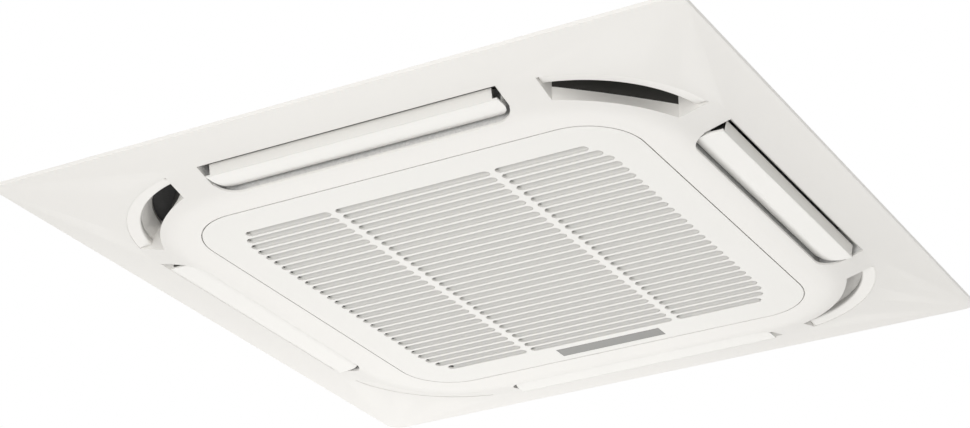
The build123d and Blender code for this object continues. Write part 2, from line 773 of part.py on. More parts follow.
# ----------------------------------------------------------------------------
# Grille hinge
# ----------------------------------------------------------------------------
with BuildPart() as arm:
    with BuildSketch(Plane.YZ.offset(-arm_width / 2)):
        with Locations((hinge_y, hinge_z)):
            Circle(arm_outer)
            Circle(arm_inner, mode=Mode.SUBTRACT)
            with Locations(Rotation(0, 0, arm_spoke_angle)):
                Rectangle(2 * arm_outer, 2 * arm_outer, align=(Align.CENTER, Align.MAX), mode=Mode.SUBTRACT)
                Rectangle(arm_inner, arm_spoke, align=(Align.MIN, Align.MIN))
            with Locations((0, grille_back_z - hinge_z)):
                Rectangle(3 * arm_outer, 2 * arm_outer, align=(Align.CENTER, Align.MAX), mode=Mode.SUBTRACT)
            Circle(arm_eye)
            Circle(hinge_pin + running_gap, mode=Mode.SUBTRACT)
    extrude(amount=arm_width)
with BuildPart() as hinge_arms:
    with Locations((-hinge_x, 0, 0), (hinge_x, 0, 0)):
        add(arm.part)
hinge_arms.part.label = "hinge_arms"
export_step(hinge_arms.part, "parts/hinge_arms.step")

with BuildPart() as hinge_pins:
    for side in (-1, 1):
        with BuildSketch(Plane.YZ.offset(side * hinge_x - pin_half)):
            with Locations((hinge_y, hinge_z)):
                Circle(hinge_pin)
        extrude(amount=2 * pin_half)
hinge_pins.part.label = "hinge_pins"
export_step(hinge_pins.part, "parts/hinge_pins.step")

# ----------------------------------------------------------------------------
# Push catches at the grille's front edge
# ----------------------------------------------------------------------------
plunger_z = grille_back_z + striker_height + catch_play
with BuildPart() as catch_housings:
    with BuildSketch(Plane.XY.offset(plunger_z + plunger_travel)):
        with GridLocations(2 * catch_x, 0, 2, 1):
            with Locations((0, catch_y)):
                Rectangle(2 * catch_body, catch_body)
                Circle(plunger_radius + catch_play, mode=Mode.SUBTRACT)
    extrude(amount=plunger_length)
    with BuildSketch(Plane.XY.offset(plunger_z + plunger_travel + plunger_length)):
        with GridLocations(2 * catch_x, 0, 2, 1):
            with Locations((0, (catch_y + catch_body / 2 - opening_half) / 2)):
                Rectangle(3 * catch_body, opening_half + catch_y + catch_body / 2)
    extrude(amount=skin)
catch_housings.part.label = "catch_housings"
export_step(catch_housings.part, "parts/catch_housings.step")

for side, sign in {"left": -1, "right": 1}.items():
    with BuildPart() as catch_plunger:
        with BuildSketch(Plane.XY.offset(plunger_z)):
            with Locations((sign * catch_x, catch_y)):
                Circle(plunger_radius)
        extrude(amount=plunger_length)
        fillet(edges().group_by(Axis.Z)[0], plunger_radius / 4)
    catch_plunger.part.label = f"catch_plunger_{side}"
    export_step(catch_plunger.part, f"parts/catch_plunger_{side}.step")

with BuildPart() as catch_strikers:
    with BuildSketch(Plane.XY.offset(grille_back_z)):
        with GridLocations(2 * catch_x, 0, 2, 1):
            with Locations((0, catch_y)):
                Circle(striker_radius)
    extrude(amount=striker_height)
    fillet(edges().group_by(Axis.Z)[-1], striker_radius / 4)
catch_strikers.part.label = "catch_strikers"
export_step(catch_strikers.part, "parts/catch_strikers.step")

# ----------------------------------------------------------------------------
# Air filter, which rests on the slats and lifts out of the grille
# ----------------------------------------------------------------------------
filter_z = grille_back_z + slat_depth
with BuildPart() as filter_frame:
    with BuildSketch(Plane.XY.offset(filter_z)):
        RectangleRounded(filter_length, filter_width, 4 * filter_bar)
        inner_length = filter_length - 2 * filter_bar
        inner_width = filter_width - 2 * filter_bar
        RectangleRounded(inner_length, inner_width, 3 * filter_bar, mode=Mode.SUBTRACT)
        with GridLocations(inner_length / 4, 0, 3, 1):
            Rectangle(filter_bar / 2, inner_width + filter_bar)
        with GridLocations(0, inner_width / 4, 1, 3):
            Rectangle(inner_length + filter_bar, filter_bar / 2)
    extrude(amount=filter_height)
    # two finger tabs at the front edge
    with BuildSketch(Plane.XY.offset(filter_z + filter_height)):
        with GridLocations(filter_length / 2, 0, 2, 1):
            with Locations((0, (filter_bar - filter_width) / 2)):
                Rectangle(4 * filter_bar, filter_bar / 2)
    extrude(amount=filter_height)
filter_frame.part.label = "filter_frame"
export_step(filter_frame.part, "parts/filter_frame.step")

with BuildPart() as filter_mesh:
    cell_length = (filter_length - 2 * filter_bar) / 4
    cell_width = (filter_width - 2 * filter_bar) / 4
    with BuildSketch(Plane.XY.offset(filter_z + filter_height / 2)):
        with GridLocations(cell_length, cell_width, 4, 4):
            Rectangle(cell_length - filter_bar / 2, cell_width - filter_bar / 2)
        RectangleRounded(inner_length, inner_width, 3 * filter_bar, mode=Mode.INTERSECT)
    extrude(amount=filter_cloth)
filter_mesh.part.label = "filter_mesh"
export_step(filter_mesh.part, "parts/filter_mesh.step")

# ----------------------------------------------------------------------------
# Casing
# ----------------------------------------------------------------------------
side_top_z = casing_top_z - sheet
lining_top_z = side_top_z - lining


def side_ports(from_x, length):
    """Holes in the +X side for the two refrigerant pipes and the drain."""
    with BuildPart() as ports:
        with BuildSketch(Plane.YZ.offset(from_x)):
            for y, z, radius in ((gas_y, gas_z, gas_radius), (liquid_y, liquid_z, liquid_radius),
                                 (pump_y, drain_z, drain_radius)):
                with Locations((y, z)):
                    Circle(radius)
        extrude(amount=length)
    return ports.part


screw_spots = [(turn, x) for turn in side_turns.values() for x in (-neck_length / 2, neck_length / 2)]
screw_z = side_top_z - 2 * case_screw_head
with BuildPart() as case_screw:
    with BuildSketch(Plane.XZ.offset(-wall_x)):
        with Locations((0, screw_z)):
            Circle(case_screw_head)
    extrude(amount=-case_screw_rise)
    fillet(edges().group_by(Axis.Y)[-1], case_screw_rise / 2)
    with BuildSketch(Plane.XZ.offset(-wall_x)):
        with Locations((0, screw_z)):
            Circle(case_screw_shank)
    extrude(amount=sheet)

with BuildPart() as casing_screws:
    for turn, x in screw_spots:
        add(case_screw.part.moved(Location((x, 0, 0))).rotate(Axis.Z, turn))
casing_screws.part.label = "casing_screws"
export_step(casing_screws.part, "parts/casing_screws.step")

with BuildPart() as casing_sides:
    # eight plates, parted on the lines from the centre to the octagon's corners
    with BuildSketch(Plane.XY.offset(casing_z)):
        octagon(0)
        octagon(sheet, Mode.SUBTRACT)
        corner_angle = math.degrees(math.atan2(wall_x - casing_chamfer, wall_x))
        for turn in side_turns.values():
            with Locations(Rotation(0, 0, turn + corner_angle), Rotation(0, 0, turn - corner_angle)):
                Rectangle(casing_size, plate_joint, align=(Align.MIN, Align.CENTER), mode=Mode.SUBTRACT)
    extrude(amount=side_top_z - casing_z)
    add(side_ports(wall_x - 2 * sheet, 3 * sheet), mode=Mode.SUBTRACT)
    with BuildSketch(Plane.YZ.offset(-wall_x)):
        with Locations((cable_y, cable_z)):
            Circle(gland_thread)
    extrude(amount=sheet, mode=Mode.SUBTRACT)
    with BuildSketch(Plane.XZ.offset(wall_x)):
        with Locations((fresh_air_x, 0)):
            Circle(fresh_air_radius - case_screw_head)
    extrude(amount=-sheet, mode=Mode.SUBTRACT)
    add(casing_screws.part, mode=Mode.SUBTRACT)
casing_sides.part.label = "casing_sides"
export_step(casing_sides.part, "parts/casing_sides.step")

with BuildPart() as casing_top:
    with BuildSketch(Plane.XY.offset(side_top_z)):
        octagon(0)
        Circle(top_dish_radius + top_dish, mode=Mode.SUBTRACT)
    extrude(amount=sheet)
    with BuildSketch(Plane.XZ):
        dish_top = casing_top_z + top_dish
        rim = top_dish_radius + top_dish
        Polygon((0, dish_top), (top_dish_radius, dish_top), (rim, casing_top_z), (rim, side_top_z),
                (top_dish_radius, dish_top - sheet), (0, dish_top - sheet), align=None)
    revolve(axis=Axis.Z)
    with BuildSketch(Plane.XY.offset(casing_top_z)):
        with PolarLocations((rim + wall_x) / 2, 8):
            SlotOverall(bead_length, bead_width)
    extrude(amount=sheet, taper=45)
casing_top.part.label = "casing_top"
export_step(casing_top.part, "parts/casing_top.step")

with BuildPart() as side_lining:
    with BuildSketch(Plane.XY.offset(pan_top_z)):
        octagon(sheet)
        octagon(sheet + lining, Mode.SUBTRACT)
    extrude(amount=lining_top_z - pan_top_z)
    add(side_ports(wall_x - 2 * lining, 2 * lining), mode=Mode.SUBTRACT)
side_lining.part.label = "side_lining"
export_step(side_lining.part, "parts/side_lining.step")

with BuildPart() as top_lining:
    with BuildSketch(Plane.XY.offset(lining_top_z)):
        octagon(sheet)
        Circle(lining_hole, mode=Mode.SUBTRACT)
    extrude(amount=lining)
top_lining.part.label = "top_lining"
export_step(top_lining.part, "parts/top_lining.step")

# One lug with its slot along X, mirrored to the other three corners
with BuildPart() as hanger_lug:
    corner = wall_x - casing_chamfer / 2
    lug_plane = Plane(origin=(corner, corner, 0), x_dir=(1, 1, 0), z_dir=(0, 0, 1))
    with BuildSketch(lug_plane):
        with Locations((lug_reach / 2, 0)):
            Rectangle(lug_reach, lug_width)
        fillet(vertices().group_by(Axis((0, 0, 0), (1, 1, 0)))[-1], hanger_slot_width)
    extrude(amount=lug_thickness)
    with BuildSketch(lug_plane):
        with Locations((lug_thickness / 2, 0)):
            Rectangle(lug_thickness, lug_width)
    extrude(amount=-lug_height)
    with BuildSketch(Plane(origin=(corner, corner, 0), x_dir=(1, 1, 0), z_dir=(-1, 1, 0))):
        gusset = lug_reach - 2 * slot_margin
        Polygon((0, 0), (gusset, 0), (0, gusset), align=None)
    extrude(amount=lug_thickness / 2, both=True)
    with BuildSketch(Plane.XY):
        with Locations((hanger_pitch_x / 2, hanger_pitch_y / 2)):
            SlotOverall(hanger_slot_length, hanger_slot_width)
    extrude(amount=lug_thickness, mode=Mode.SUBTRACT)
with BuildPart() as hanger_lugs:
    add(hanger_lug.part)
    mirror(about=Plane.YZ)
    mirror(about=Plane.XZ)
hanger_lugs.part.label = "hanger_lugs"
export_step(hanger_lugs.part, "parts/hanger_lugs.step")

# ----------------------------------------------------------------------------
# Drain pan, with the duct openings, the trough under the coil and the sump of the pump
# ----------------------------------------------------------------------------
bell_radius = fan_radius - shroud_curve - fan_sheet - bell_gap
bell_centre = bell_radius - bell_wall + bell_curve

with BuildPart() as drain_pan:
    with BuildSketch(Plane.XY.offset(casing_z)):
        octagon(sheet)
        for turn in side_turns.values():
            with Locations(Rotation(0, 0, turn)):
                with Locations((0, (neck_inner + neck_outer) / 2)):
                    Rectangle(neck_length, neck_outer - neck_inner, mode=Mode.SUBTRACT)
        Circle(bell_centre + pan_hole_gap, mode=Mode.SUBTRACT)
    extrude(amount=pan_height)
    with BuildSketch(Plane.XY.offset(casing_z)):
        Circle(bell_centre + bell_flange)
    extrude(amount=bell_flange_z + bell_wall - casing_z, mode=Mode.SUBTRACT)
    with BuildSketch(Plane.XY.offset(coil_bottom_z)):
        trough_outer = coil_half + trough_gap
        trough_inner = coil_inner - trough_gap
        RectangleRounded(2 * trough_outer, 2 * trough_outer, coil_corner + trough_gap)
        RectangleRounded(2 * trough_inner, 2 * trough_inner, coil_corner - coil_depth - trough_gap,
                         mode=Mode.SUBTRACT)
        with Locations((pump_x, pump_y)):
            Circle(sump_radius)
    extrude(amount=pan_top_z - coil_bottom_z, mode=Mode.SUBTRACT)
    with BuildSketch(Plane.XY.offset(coil_bottom_z)):
        with Locations((pump_x, pump_y)):
            Circle(sump_radius)
    extrude(amount=-sump_drop, mode=Mode.SUBTRACT)
    with BuildSketch(Plane.XY.offset(casing_z)):
        with Locations((-(box_inner_x + box_outer_x) / 2, 0)):
            Rectangle(box_outer_x - box_inner_x + 2 * box_gap, 2 * (box_half_y + box_gap))
    extrude(amount=box_height, mode=Mode.SUBTRACT)
    add(panel_screws.part, mode=Mode.SUBTRACT)
drain_pan.part.label = "drain_pan"
export_step(drain_pan.part, "parts/drain_pan.step")

with BuildPart() as bell_mouth:
    with BuildSketch(Plane.XZ):
        with BuildLine():
            arc_z = bell_flange_z + bell_curve
            front = CenterArc((bell_centre, arc_z), bell_curve, 180, 90)
            back = CenterArc((bell_centre, arc_z), bell_curve - bell_wall, 180, 90)
            Polyline(front @ 0, front @ 0 + (0, bell_throat), back @ 0 + (0, bell_throat), back @ 0)
            Polyline(front @ 1, front @ 1 + (bell_flange, 0), back @ 1 + (bell_flange, 0), back @ 1)
        make_face()
    revolve(axis=Axis.Z)
    with BuildSketch(Plane.XY.offset(bell_flange_z)):
        with Locations((-box_inner_x + box_gap, 0)):
            Rectangle(2 * bell_flange, 2 * bell_centre, align=(Align.MAX, Align.CENTER))
    extrude(amount=bell_wall, mode=Mode.SUBTRACT)
bell_mouth.part.label = "bell_mouth"
export_step(bell_mouth.part, "parts/bell_mouth.step")

# ----------------------------------------------------------------------------
# Fan wheel, motor and mounts
# ----------------------------------------------------------------------------
shroud_rim_z = shroud_eye_z + shroud_curve
floor_z = dome_floor_z - fan_sheet
with BuildPart() as fan_blade_set:
    with BuildSketch(Plane.XY.offset(shroud_eye_z)):
        with BuildLine():
            tip_angle = math.radians(blade_sweep)
            mid_angle = math.radians(blade_belly)
            mid = (blade_root + blade_tip) / 2
            root = (blade_root, 0)
            tip = (blade_tip * math.cos(tip_angle), blade_tip * math.sin(tip_angle))
            crest = (mid * math.cos(mid_angle) + blade_thickness, mid * math.sin(mid_angle) - blade_thickness)
            belly = (crest[0] - blade_thickness, crest[1] + blade_thickness)
            ThreePointArc(root, crest, tip)
            ThreePointArc(tip, belly, root)
        make_face()
    extrude(amount=hub_z - shroud_eye_z)
with BuildPart() as fan_wheel:
    with PolarLocations(0, fan_blades):
        add(fan_blade_set.part)
    with BuildSketch(Plane.XZ):
        with BuildLine():
            inner_rim = shroud_curve + fan_sheet / 2
            eye = CenterArc((fan_radius, shroud_eye_z), inner_rim, 90, blade_inlet_angle)
            inlet = (blade_root - fan_sheet, blade_inlet_z)
            Polyline(eye @ 1, inlet, (blade_root - fan_sheet, hub_z), (fan_radius, hub_z), eye @ 0)
        make_face()
    revolve(axis=Axis.Z, mode=Mode.INTERSECT)
    with BuildSketch(Plane.XZ):
        with BuildLine():
            lower = CenterArc((fan_radius, shroud_eye_z), shroud_curve, 90, 90)
            upper = CenterArc((fan_radius, shroud_eye_z), shroud_curve + fan_sheet, 90, 90)
            Line(lower @ 0, upper @ 0)
            Line(lower @ 1, upper @ 1)
        make_face()
    revolve(axis=Axis.Z)
    with BuildSketch(Plane.XZ):
        Polygon((fan_radius, hub_z), (dome_top_radius, hub_z), (dome_floor_radius, dome_floor_z),
                (shaft_radius, dome_floor_z), (shaft_radius, floor_z),
                (dome_floor_radius + fan_sheet, floor_z), (dome_top_radius + fan_sheet, hub_z - fan_sheet),
                (fan_radius, hub_z - fan_sheet), align=None)
        Polygon((shaft_radius, floor_z), (hub_boss_radius, floor_z), (hub_boss_radius, dome_floor_z + hub_boss_height),
                (shaft_radius, dome_floor_z + hub_boss_height), align=None)
    revolve(axis=Axis.Z)
fan_wheel.part.label = "fan_wheel"
export_step(fan_wheel.part, "parts/fan_wheel.step")

can_top_z = casing_top_z + top_dish - sheet - mount_height
can_bottom_z = can_top_z - motor_can_height
with BuildPart() as fan_motor:
    with BuildSketch(Plane.XY.offset(can_bottom_z)):
        Circle(motor_can_radius)
    extrude(amount=motor_can_height)
    fillet(edges().group_by(Axis.Z)[0], shaft_radius)
    with BuildSketch(Plane.XY.offset(can_top_z)):
        with PolarLocations(motor_lug_radius / 2, 4):
            SlotOverall(motor_lug_radius + 2 * mount_radius, 2 * mount_radius)
    extrude(amount=-fan_sheet)
    with BuildSketch(Plane.XY.offset(can_bottom_z)):
        Circle(shaft_radius + running_gap)
    extrude(amount=motor_can_height / 2, mode=Mode.SUBTRACT)
fan_motor.part.label = "fan_motor"
export_step(fan_motor.part, "parts/fan_motor.step")

with BuildPart() as motor_mounts:
    with BuildSketch(Plane.XY.offset(can_top_z)):
        with PolarLocations(motor_lug_radius, 4):
            Circle(mount_radius)
    extrude(amount=mount_height)
    with BuildSketch(Plane.XY.offset(can_top_z + mount_height / 3)):
        with PolarLocations(motor_lug_radius, 4):
            Circle(mount_radius)
            Circle(mount_waist, mode=Mode.SUBTRACT)
    extrude(amount=mount_height / 3, mode=Mode.SUBTRACT)
motor_mounts.part.label = "motor_mounts"
export_step(motor_mounts.part, "parts/motor_mounts.step")

shaft_end_z = floor_z - shaft_below
with BuildPart() as motor_shaft:
    with BuildSketch(Plane.XY.offset(shaft_end_z)):
        Circle(shaft_radius)
    extrude(amount=can_bottom_z + motor_can_height / 2 - running_gap - shaft_end_z)
motor_shaft.part.label = "motor_shaft"
export_step(motor_shaft.part, "parts/motor_shaft.step")

with BuildPart() as fan_nut:
    with BuildSketch(Plane.XY.offset(floor_z)):
        RegularPolygon(nut_across / 2, 6, major_radius=False)
        Circle(shaft_radius, mode=Mode.SUBTRACT)
    extrude(amount=-nut_height)
fan_nut.part.label = "fan_nut"
export_step(fan_nut.part, "parts/fan_nut.step")

# ----------------------------------------------------------------------------
# Coil: finned block bent round the fan, open in one corner, with its tubes and pipes
# ----------------------------------------------------------------------------
with BuildPart() as coil_fins:
    with BuildSketch(Plane.XY.offset(coil_bottom_z)):
        RectangleRounded(2 * coil_half, 2 * coil_half, coil_corner)
        RectangleRounded(2 * coil_inner, 2 * coil_inner, coil_corner - coil_depth, mode=Mode.SUBTRACT)
        with Locations((coil_open, coil_open)):
            Rectangle(coil_half, coil_half, align=(Align.MIN, Align.MIN), mode=Mode.SUBTRACT)
    extrude(amount=coil_height)
coil_fins.part.label = "coil_fins"
export_step(coil_fins.part, "parts/coil_fins.step")

bend_pitch = coil_height / tube_bends
tube_pair = ((coil_inner + coil_half) / 2 - bend_radius, (coil_inner + coil_half) / 2 + bend_radius)
bend_levels = [coil_bottom_z + bend_pitch * (i + 0.5) for i in range(tube_bends)]
plate_outer = coil_open + plate_thickness

with BuildPart() as leg_plate:
    # the plate that closes the +X leg; the other leg's plate is its mirror image across the diagonal
    with BuildSketch(Plane.XZ.offset(-coil_open)):
        with Locations(((coil_inner + coil_half) / 2, coil_bottom_z + coil_height / 2)):
            Rectangle(coil_depth + 2 * plate_margin, coil_height)
    extrude(amount=-plate_thickness)
diagonal = Plane(origin=(0, 0, 0), z_dir=(1, -1, 0))
with BuildPart() as coil_plates:
    add(leg_plate.part)
    mirror(about=diagonal)
coil_plates.part.label = "coil_plates"
export_step(coil_plates.part, "parts/coil_plates.step")

with BuildPart() as leg_bends:
    for level in bend_levels:
        with BuildSketch(Plane.XZ.offset(-plate_outer)):
            with Locations((tube_pair[1], level)):
                Circle(tube_radius)
        bend_axis = Axis(((coil_inner + coil_half) / 2, plate_outer, level), (0, 0, 1))
        revolve(axis=bend_axis, revolution_arc=180)
with BuildPart() as coil_tubes:
    add(leg_bends.part)
    mirror(about=diagonal)
coil_tubes.part.label = "coil_tubes"
export_step(coil_tubes.part, "parts/coil_tubes.step")


def pipe(points, bend, radius):
    """A round pipe along straight runs joined by equal bends, starting square to its first run."""
    with BuildPart() as run:
        with BuildLine() as route:
            FilletPolyline(*points, radius=bend)
        with BuildSketch(route.line ^ 0):
            Circle(radius)
        sweep()
    return run.part


pipe_end_x = wall_x + pipe_reach
with BuildPart() as gas_pipe:
    gas_route = [(header_x, header_y, gas_z), (header_x, gas_y, gas_z), (pipe_end_x, gas_y, gas_z)]
    add(pipe(gas_route, pipe_bend, gas_radius))
    with BuildSketch(Plane.XY.offset(gas_z - header_half)):
        with Locations((header_x, header_y)):
            Circle(header_radius)
    extrude(amount=2 * header_half)
    for level in bend_levels[1:-2]:
        with BuildSketch(Plane.YZ.offset(plate_outer)):
            with Locations((header_y, level + bend_pitch / 2)):
                Circle(feeder_radius)
        extrude(amount=header_x - plate_outer)
gas_pipe.part.label = "gas_pipe"
export_step(gas_pipe.part, "parts/gas_pipe.step")

with BuildPart() as liquid_pipe:
    liquid_start = (plate_outer, header_y - 2 * bend_radius, liquid_z)
    liquid_turn_x = header_x + 2 * pipe_bend
    liquid_route = [liquid_start, (liquid_turn_x, liquid_start[1], liquid_z), (liquid_turn_x, liquid_y, liquid_z),
                    (pipe_end_x, liquid_y, liquid_z)]
    add(pipe(liquid_route, pipe_bend, liquid_radius))
liquid_pipe.part.label = "liquid_pipe"
export_step(liquid_pipe.part, "parts/liquid_pipe.step")

# a brass union on each pipe: a socket over the pipe, a hexagon and a threaded spigot with its bore
with BuildPart() as flare_unions:
    for y, z, radius, thread in ((gas_y, gas_z, gas_radius, gas_thread), (liquid_y, liquid_z, liquid_radius, liquid_thread)):
        with BuildSketch(Plane.YZ.offset(pipe_end_x - union_socket)):
            with Locations((y, z)):
                Circle(radius + union_wall)
                Circle(radius, mode=Mode.SUBTRACT)
        extrude(amount=union_socket)
        with BuildSketch(Plane.YZ.offset(pipe_end_x)):
            with Locations((y, z)):
                RegularPolygon(thread + union_shoulder, 6, major_radius=False)
        extrude(amount=union_hex)
        with BuildSketch(Plane.YZ.offset(pipe_end_x + union_hex)):
            with Locations((y, z)):
                Circle(thread)
        extrude(amount=union_thread)
        with BuildSketch(Plane.YZ.offset(pipe_end_x)):
            with Locations((y, z)):
                Circle(radius - union_step)
        extrude(amount=union_hex + union_thread, mode=Mode.SUBTRACT)
flare_unions.part.label = "flare_unions"
export_step(flare_unions.part, "parts/flare_unions.step")

with BuildPart() as pipe_cover:
    with BuildSketch(Plane.YZ.offset(wall_x)):
        with Locations(((gas_y + liquid_y) / 2, (gas_z + liquid_z) / 2)):
            RectangleRounded(cover_length, cover_height, cover_corner)
    extrude(amount=cover_thickness)
    add(side_ports(wall_x, cover_thickness), mode=Mode.SUBTRACT)
pipe_cover.part.label = "pipe_cover"
export_step(pipe_cover.part, "parts/pipe_cover.step")

# ----------------------------------------------------------------------------
# Drain pump, float switch, hose and socket
# ----------------------------------------------------------------------------
with BuildPart() as drain_pump:
    with BuildSketch(Plane.XY.offset(pump_base_z)):
        with Locations((pump_x, pump_y)):
            Circle(pump_radius)
    extrude(amount=pump_height)
    fillet(edges().group_by(Axis.Z)[-1], pump_radius / 6)
    with BuildSketch(Plane.XY.offset(pump_base_z)):
        with Locations((pump_x, pump_y)):
            Circle(volute_radius)
    extrude(amount=coil_bottom_z - pump_base_z)
    with BuildSketch(Plane.XY.offset(coil_bottom_z)):
        with Locations((pump_x, pump_y)):
            Circle(volute_radius - pump_wall)
    extrude(amount=pump_base_z - coil_bottom_z, mode=Mode.SUBTRACT)
    with BuildSketch(Plane.XY.offset(pump_base_z)):
        with Locations((pump_x, pump_y)):
            Circle(impeller_shaft + running_gap)
    extrude(amount=pump_height / 2, mode=Mode.SUBTRACT)
drain_pump.part.label = "drain_pump"
export_step(drain_pump.part, "parts/drain_pump.step")

with BuildPart() as pump_impeller:
    impeller_z = coil_bottom_z + impeller_height / 2
    with BuildSketch(Plane.XY.offset(impeller_z)):
        with Locations((pump_x, pump_y)):
            Circle(impeller_radius / 3)
            with PolarLocations(0, 4):
                Rectangle(2 * impeller_radius, impeller_shaft)
    extrude(amount=impeller_height)
    with BuildSketch(Plane.XY.offset(impeller_z)):
        with Locations((pump_x, pump_y)):
            Circle(impeller_shaft)
    extrude(amount=pump_base_z + pump_height / 2 - running_gap - impeller_z)
pump_impeller.part.label = "pump_impeller"
export_step(pump_impeller.part, "parts/pump_impeller.step")

with BuildPart() as pump_bracket:
    bracket_z = pump_base_z + pump_height
    with BuildSketch(Plane.XY.offset(bracket_z)):
        with Locations((pump_x, pump_y)):
            Rectangle(pump_radius, bracket_width, align=(Align.MIN, Align.CENTER))
    extrude(amount=bracket_thickness)
    with BuildSketch(Plane.XY.offset(bracket_z)):
        with Locations((pump_x, pump_y)):
            Rectangle(bracket_thickness, bracket_width, align=(Align.MIN, Align.CENTER))
    extrude(amount=lining_top_z - bracket_z)
    with BuildSketch(Plane.YZ.offset(pump_x)):
        with Locations((pump_y, (bracket_z + lining_top_z) / 2)):
            SlotOverall(bracket_slot, pump_radius / 2, rotation=90)
    extrude(amount=bracket_thickness, mode=Mode.SUBTRACT)
pump_bracket.part.label = "pump_bracket"
export_step(pump_bracket.part, "parts/pump_bracket.step")

with BuildPart() as float_switch:
    float_top_z = coil_bottom_z + 2 * float_stem + float_height + float_travel
    with BuildSketch(Plane.XY.offset(coil_bottom_z)):
        with Locations((float_x, float_y)):
            Circle(float_stem)
    extrude(amount=float_top_z + float_play - coil_bottom_z)
    with BuildSketch(Plane.XY.offset(float_top_z + float_play)):
        with Locations((float_x, float_y)):
            Circle(float_cap)
    extrude(amount=2 * float_stem)
    with BuildSketch(Plane.XY.offset(coil_bottom_z)):
        with Locations((float_x, float_y)):
            Circle(float_cap)
    extrude(amount=float_stem)
float_switch.part.label = "float_switch"
export_step(float_switch.part, "parts/float_switch.step")

with BuildPart() as drain_float:
    with BuildSketch(Plane.XY.offset(coil_bottom_z + 2 * float_stem)):
        with Locations((float_x, float_y)):
            Circle(float_radius)
            Circle(float_stem + float_play, mode=Mode.SUBTRACT)
    extrude(amount=float_height)
    fillet(edges().group_by(Axis.Z)[-1].filter_by(GeomType.CIRCLE).sort_by(SortBy.LENGTH)[-1], float_stem / 2)
drain_float.part.label = "drain_float"
export_step(drain_float.part, "parts/drain_float.step")

socket_start_x = wall_x - sheet - lining - drain_inside
with BuildPart() as drain_hose:
    hose_route = [(pump_x + pump_radius, pump_y, hose_start_z), (hose_x, pump_y, hose_start_z),
                  (hose_x, pump_y, drain_z), (socket_start_x, pump_y, drain_z)]
    add(pipe(hose_route, hose_bend, hose_radius))
drain_hose.part.label = "drain_hose"
export_step(drain_hose.part, "parts/drain_hose.step")

with BuildPart() as drain_socket:
    with BuildSketch(Plane.YZ.offset(socket_start_x)):
        with Locations((pump_y, drain_z)):
            Circle(drain_radius)
    extrude(amount=wall_x + drain_reach - socket_start_x)
    with BuildSketch(Plane.YZ.offset(wall_x)):
        with Locations((pump_y, drain_z)):
            Circle(drain_radius + 2 * cover_thickness)
    extrude(amount=cover_thickness)
    with BuildSketch(Plane.YZ.offset(wall_x + drain_reach)):
        with Locations((pump_y, drain_z)):
            Circle(drain_bore)
    extrude(amount=-drain_reach, mode=Mode.SUBTRACT)
drain_socket.part.label = "drain_socket"
export_step(drain_socket.part, "parts/drain_socket.step")

# ----------------------------------------------------------------------------
# Control box in the drain pan
# ----------------------------------------------------------------------------
box_centre_x = -(box_inner_x + box_outer_x) / 2
box_width = box_outer_x - box_inner_x
box_top_z = casing_z + box_height - box_gap
with BuildPart() as control_box:
    with BuildSketch(Plane.XY.offset(casing_z)):
        with Locations((box_centre_x, 0)):
            Rectangle(box_width, 2 * box_half_y)
    extrude(amount=box_top_z - casing_z)
    offset(amount=-box_wall, openings=faces().sort_by(Axis.Z)[0])
control_box.part.label = "control_box"
export_step(control_box.part, "parts/control_box.step")

with BuildPart() as control_lid:
    with BuildSketch(Plane.XY.offset(casing_z)):
        with Locations((box_centre_x, 0)):
            RectangleRounded(box_width + 4 * box_wall, 2 * box_half_y + 4 * box_wall, 3 * box_wall)
    extrude(amount=-box_wall)
    with BuildSketch(Plane.XY.offset(casing_z - box_wall)):
        with GridLocations(0, 2 * box_half_y - 6 * box_wall, 1, 2):
            with Locations((box_centre_x, 0)):
                Circle(3 * box_wall)
    extrude(amount=-box_wall)
control_lid.part.label = "control_lid"
export_step(control_lid.part, "parts/control_lid.step")

board_top_z = box_top_z - box_wall - standoff
with BuildPart() as circuit_board:
    with BuildSketch(Plane.XY.offset(board_top_z)):
        with Locations((box_centre_x, 0)):
            Rectangle(board_width, board_length)
    extrude(amount=-board_thickness)
    with BuildSketch(Plane.XY.offset(board_top_z)):
        with Locations((box_centre_x, 0)):
            with GridLocations(board_width - 3 * standoff / 2, board_length - 3 * standoff / 2, 2, 2):
                Circle(standoff / 2)
    extrude(amount=standoff)
    with BuildSketch(Plane.XY.offset(board_top_z - board_thickness)):
        with Locations((box_centre_x, board_length / 4)):
            with GridLocations(board_width / 2, board_length / 10, 2, 4):
                Rectangle(board_width / 4, board_length / 16)
    extrude(amount=-2 * standoff)
circuit_board.part.label = "circuit_board"
export_step(circuit_board.part, "parts/circuit_board.step")

with BuildPart() as terminal_block:
    with BuildSketch(Plane.XY.offset(board_top_z - board_thickness)):
        with Locations((box_centre_x, -board_length / 4)):
            Rectangle(board_width / 2, board_length / 3)
    extrude(amount=-3 * standoff)
    with BuildSketch(Plane.XY.offset(board_top_z - board_thickness - 3 * standoff)):
        with Locations((box_centre_x, -board_length / 4)):
            with GridLocations(0, board_length / 18, 1, 6):
                Rectangle(board_width / 3, board_length / 30)
    extrude(amount=standoff, mode=Mode.SUBTRACT)
terminal_block.part.label = "terminal_block"
export_step(terminal_block.part, "parts/terminal_block.step")

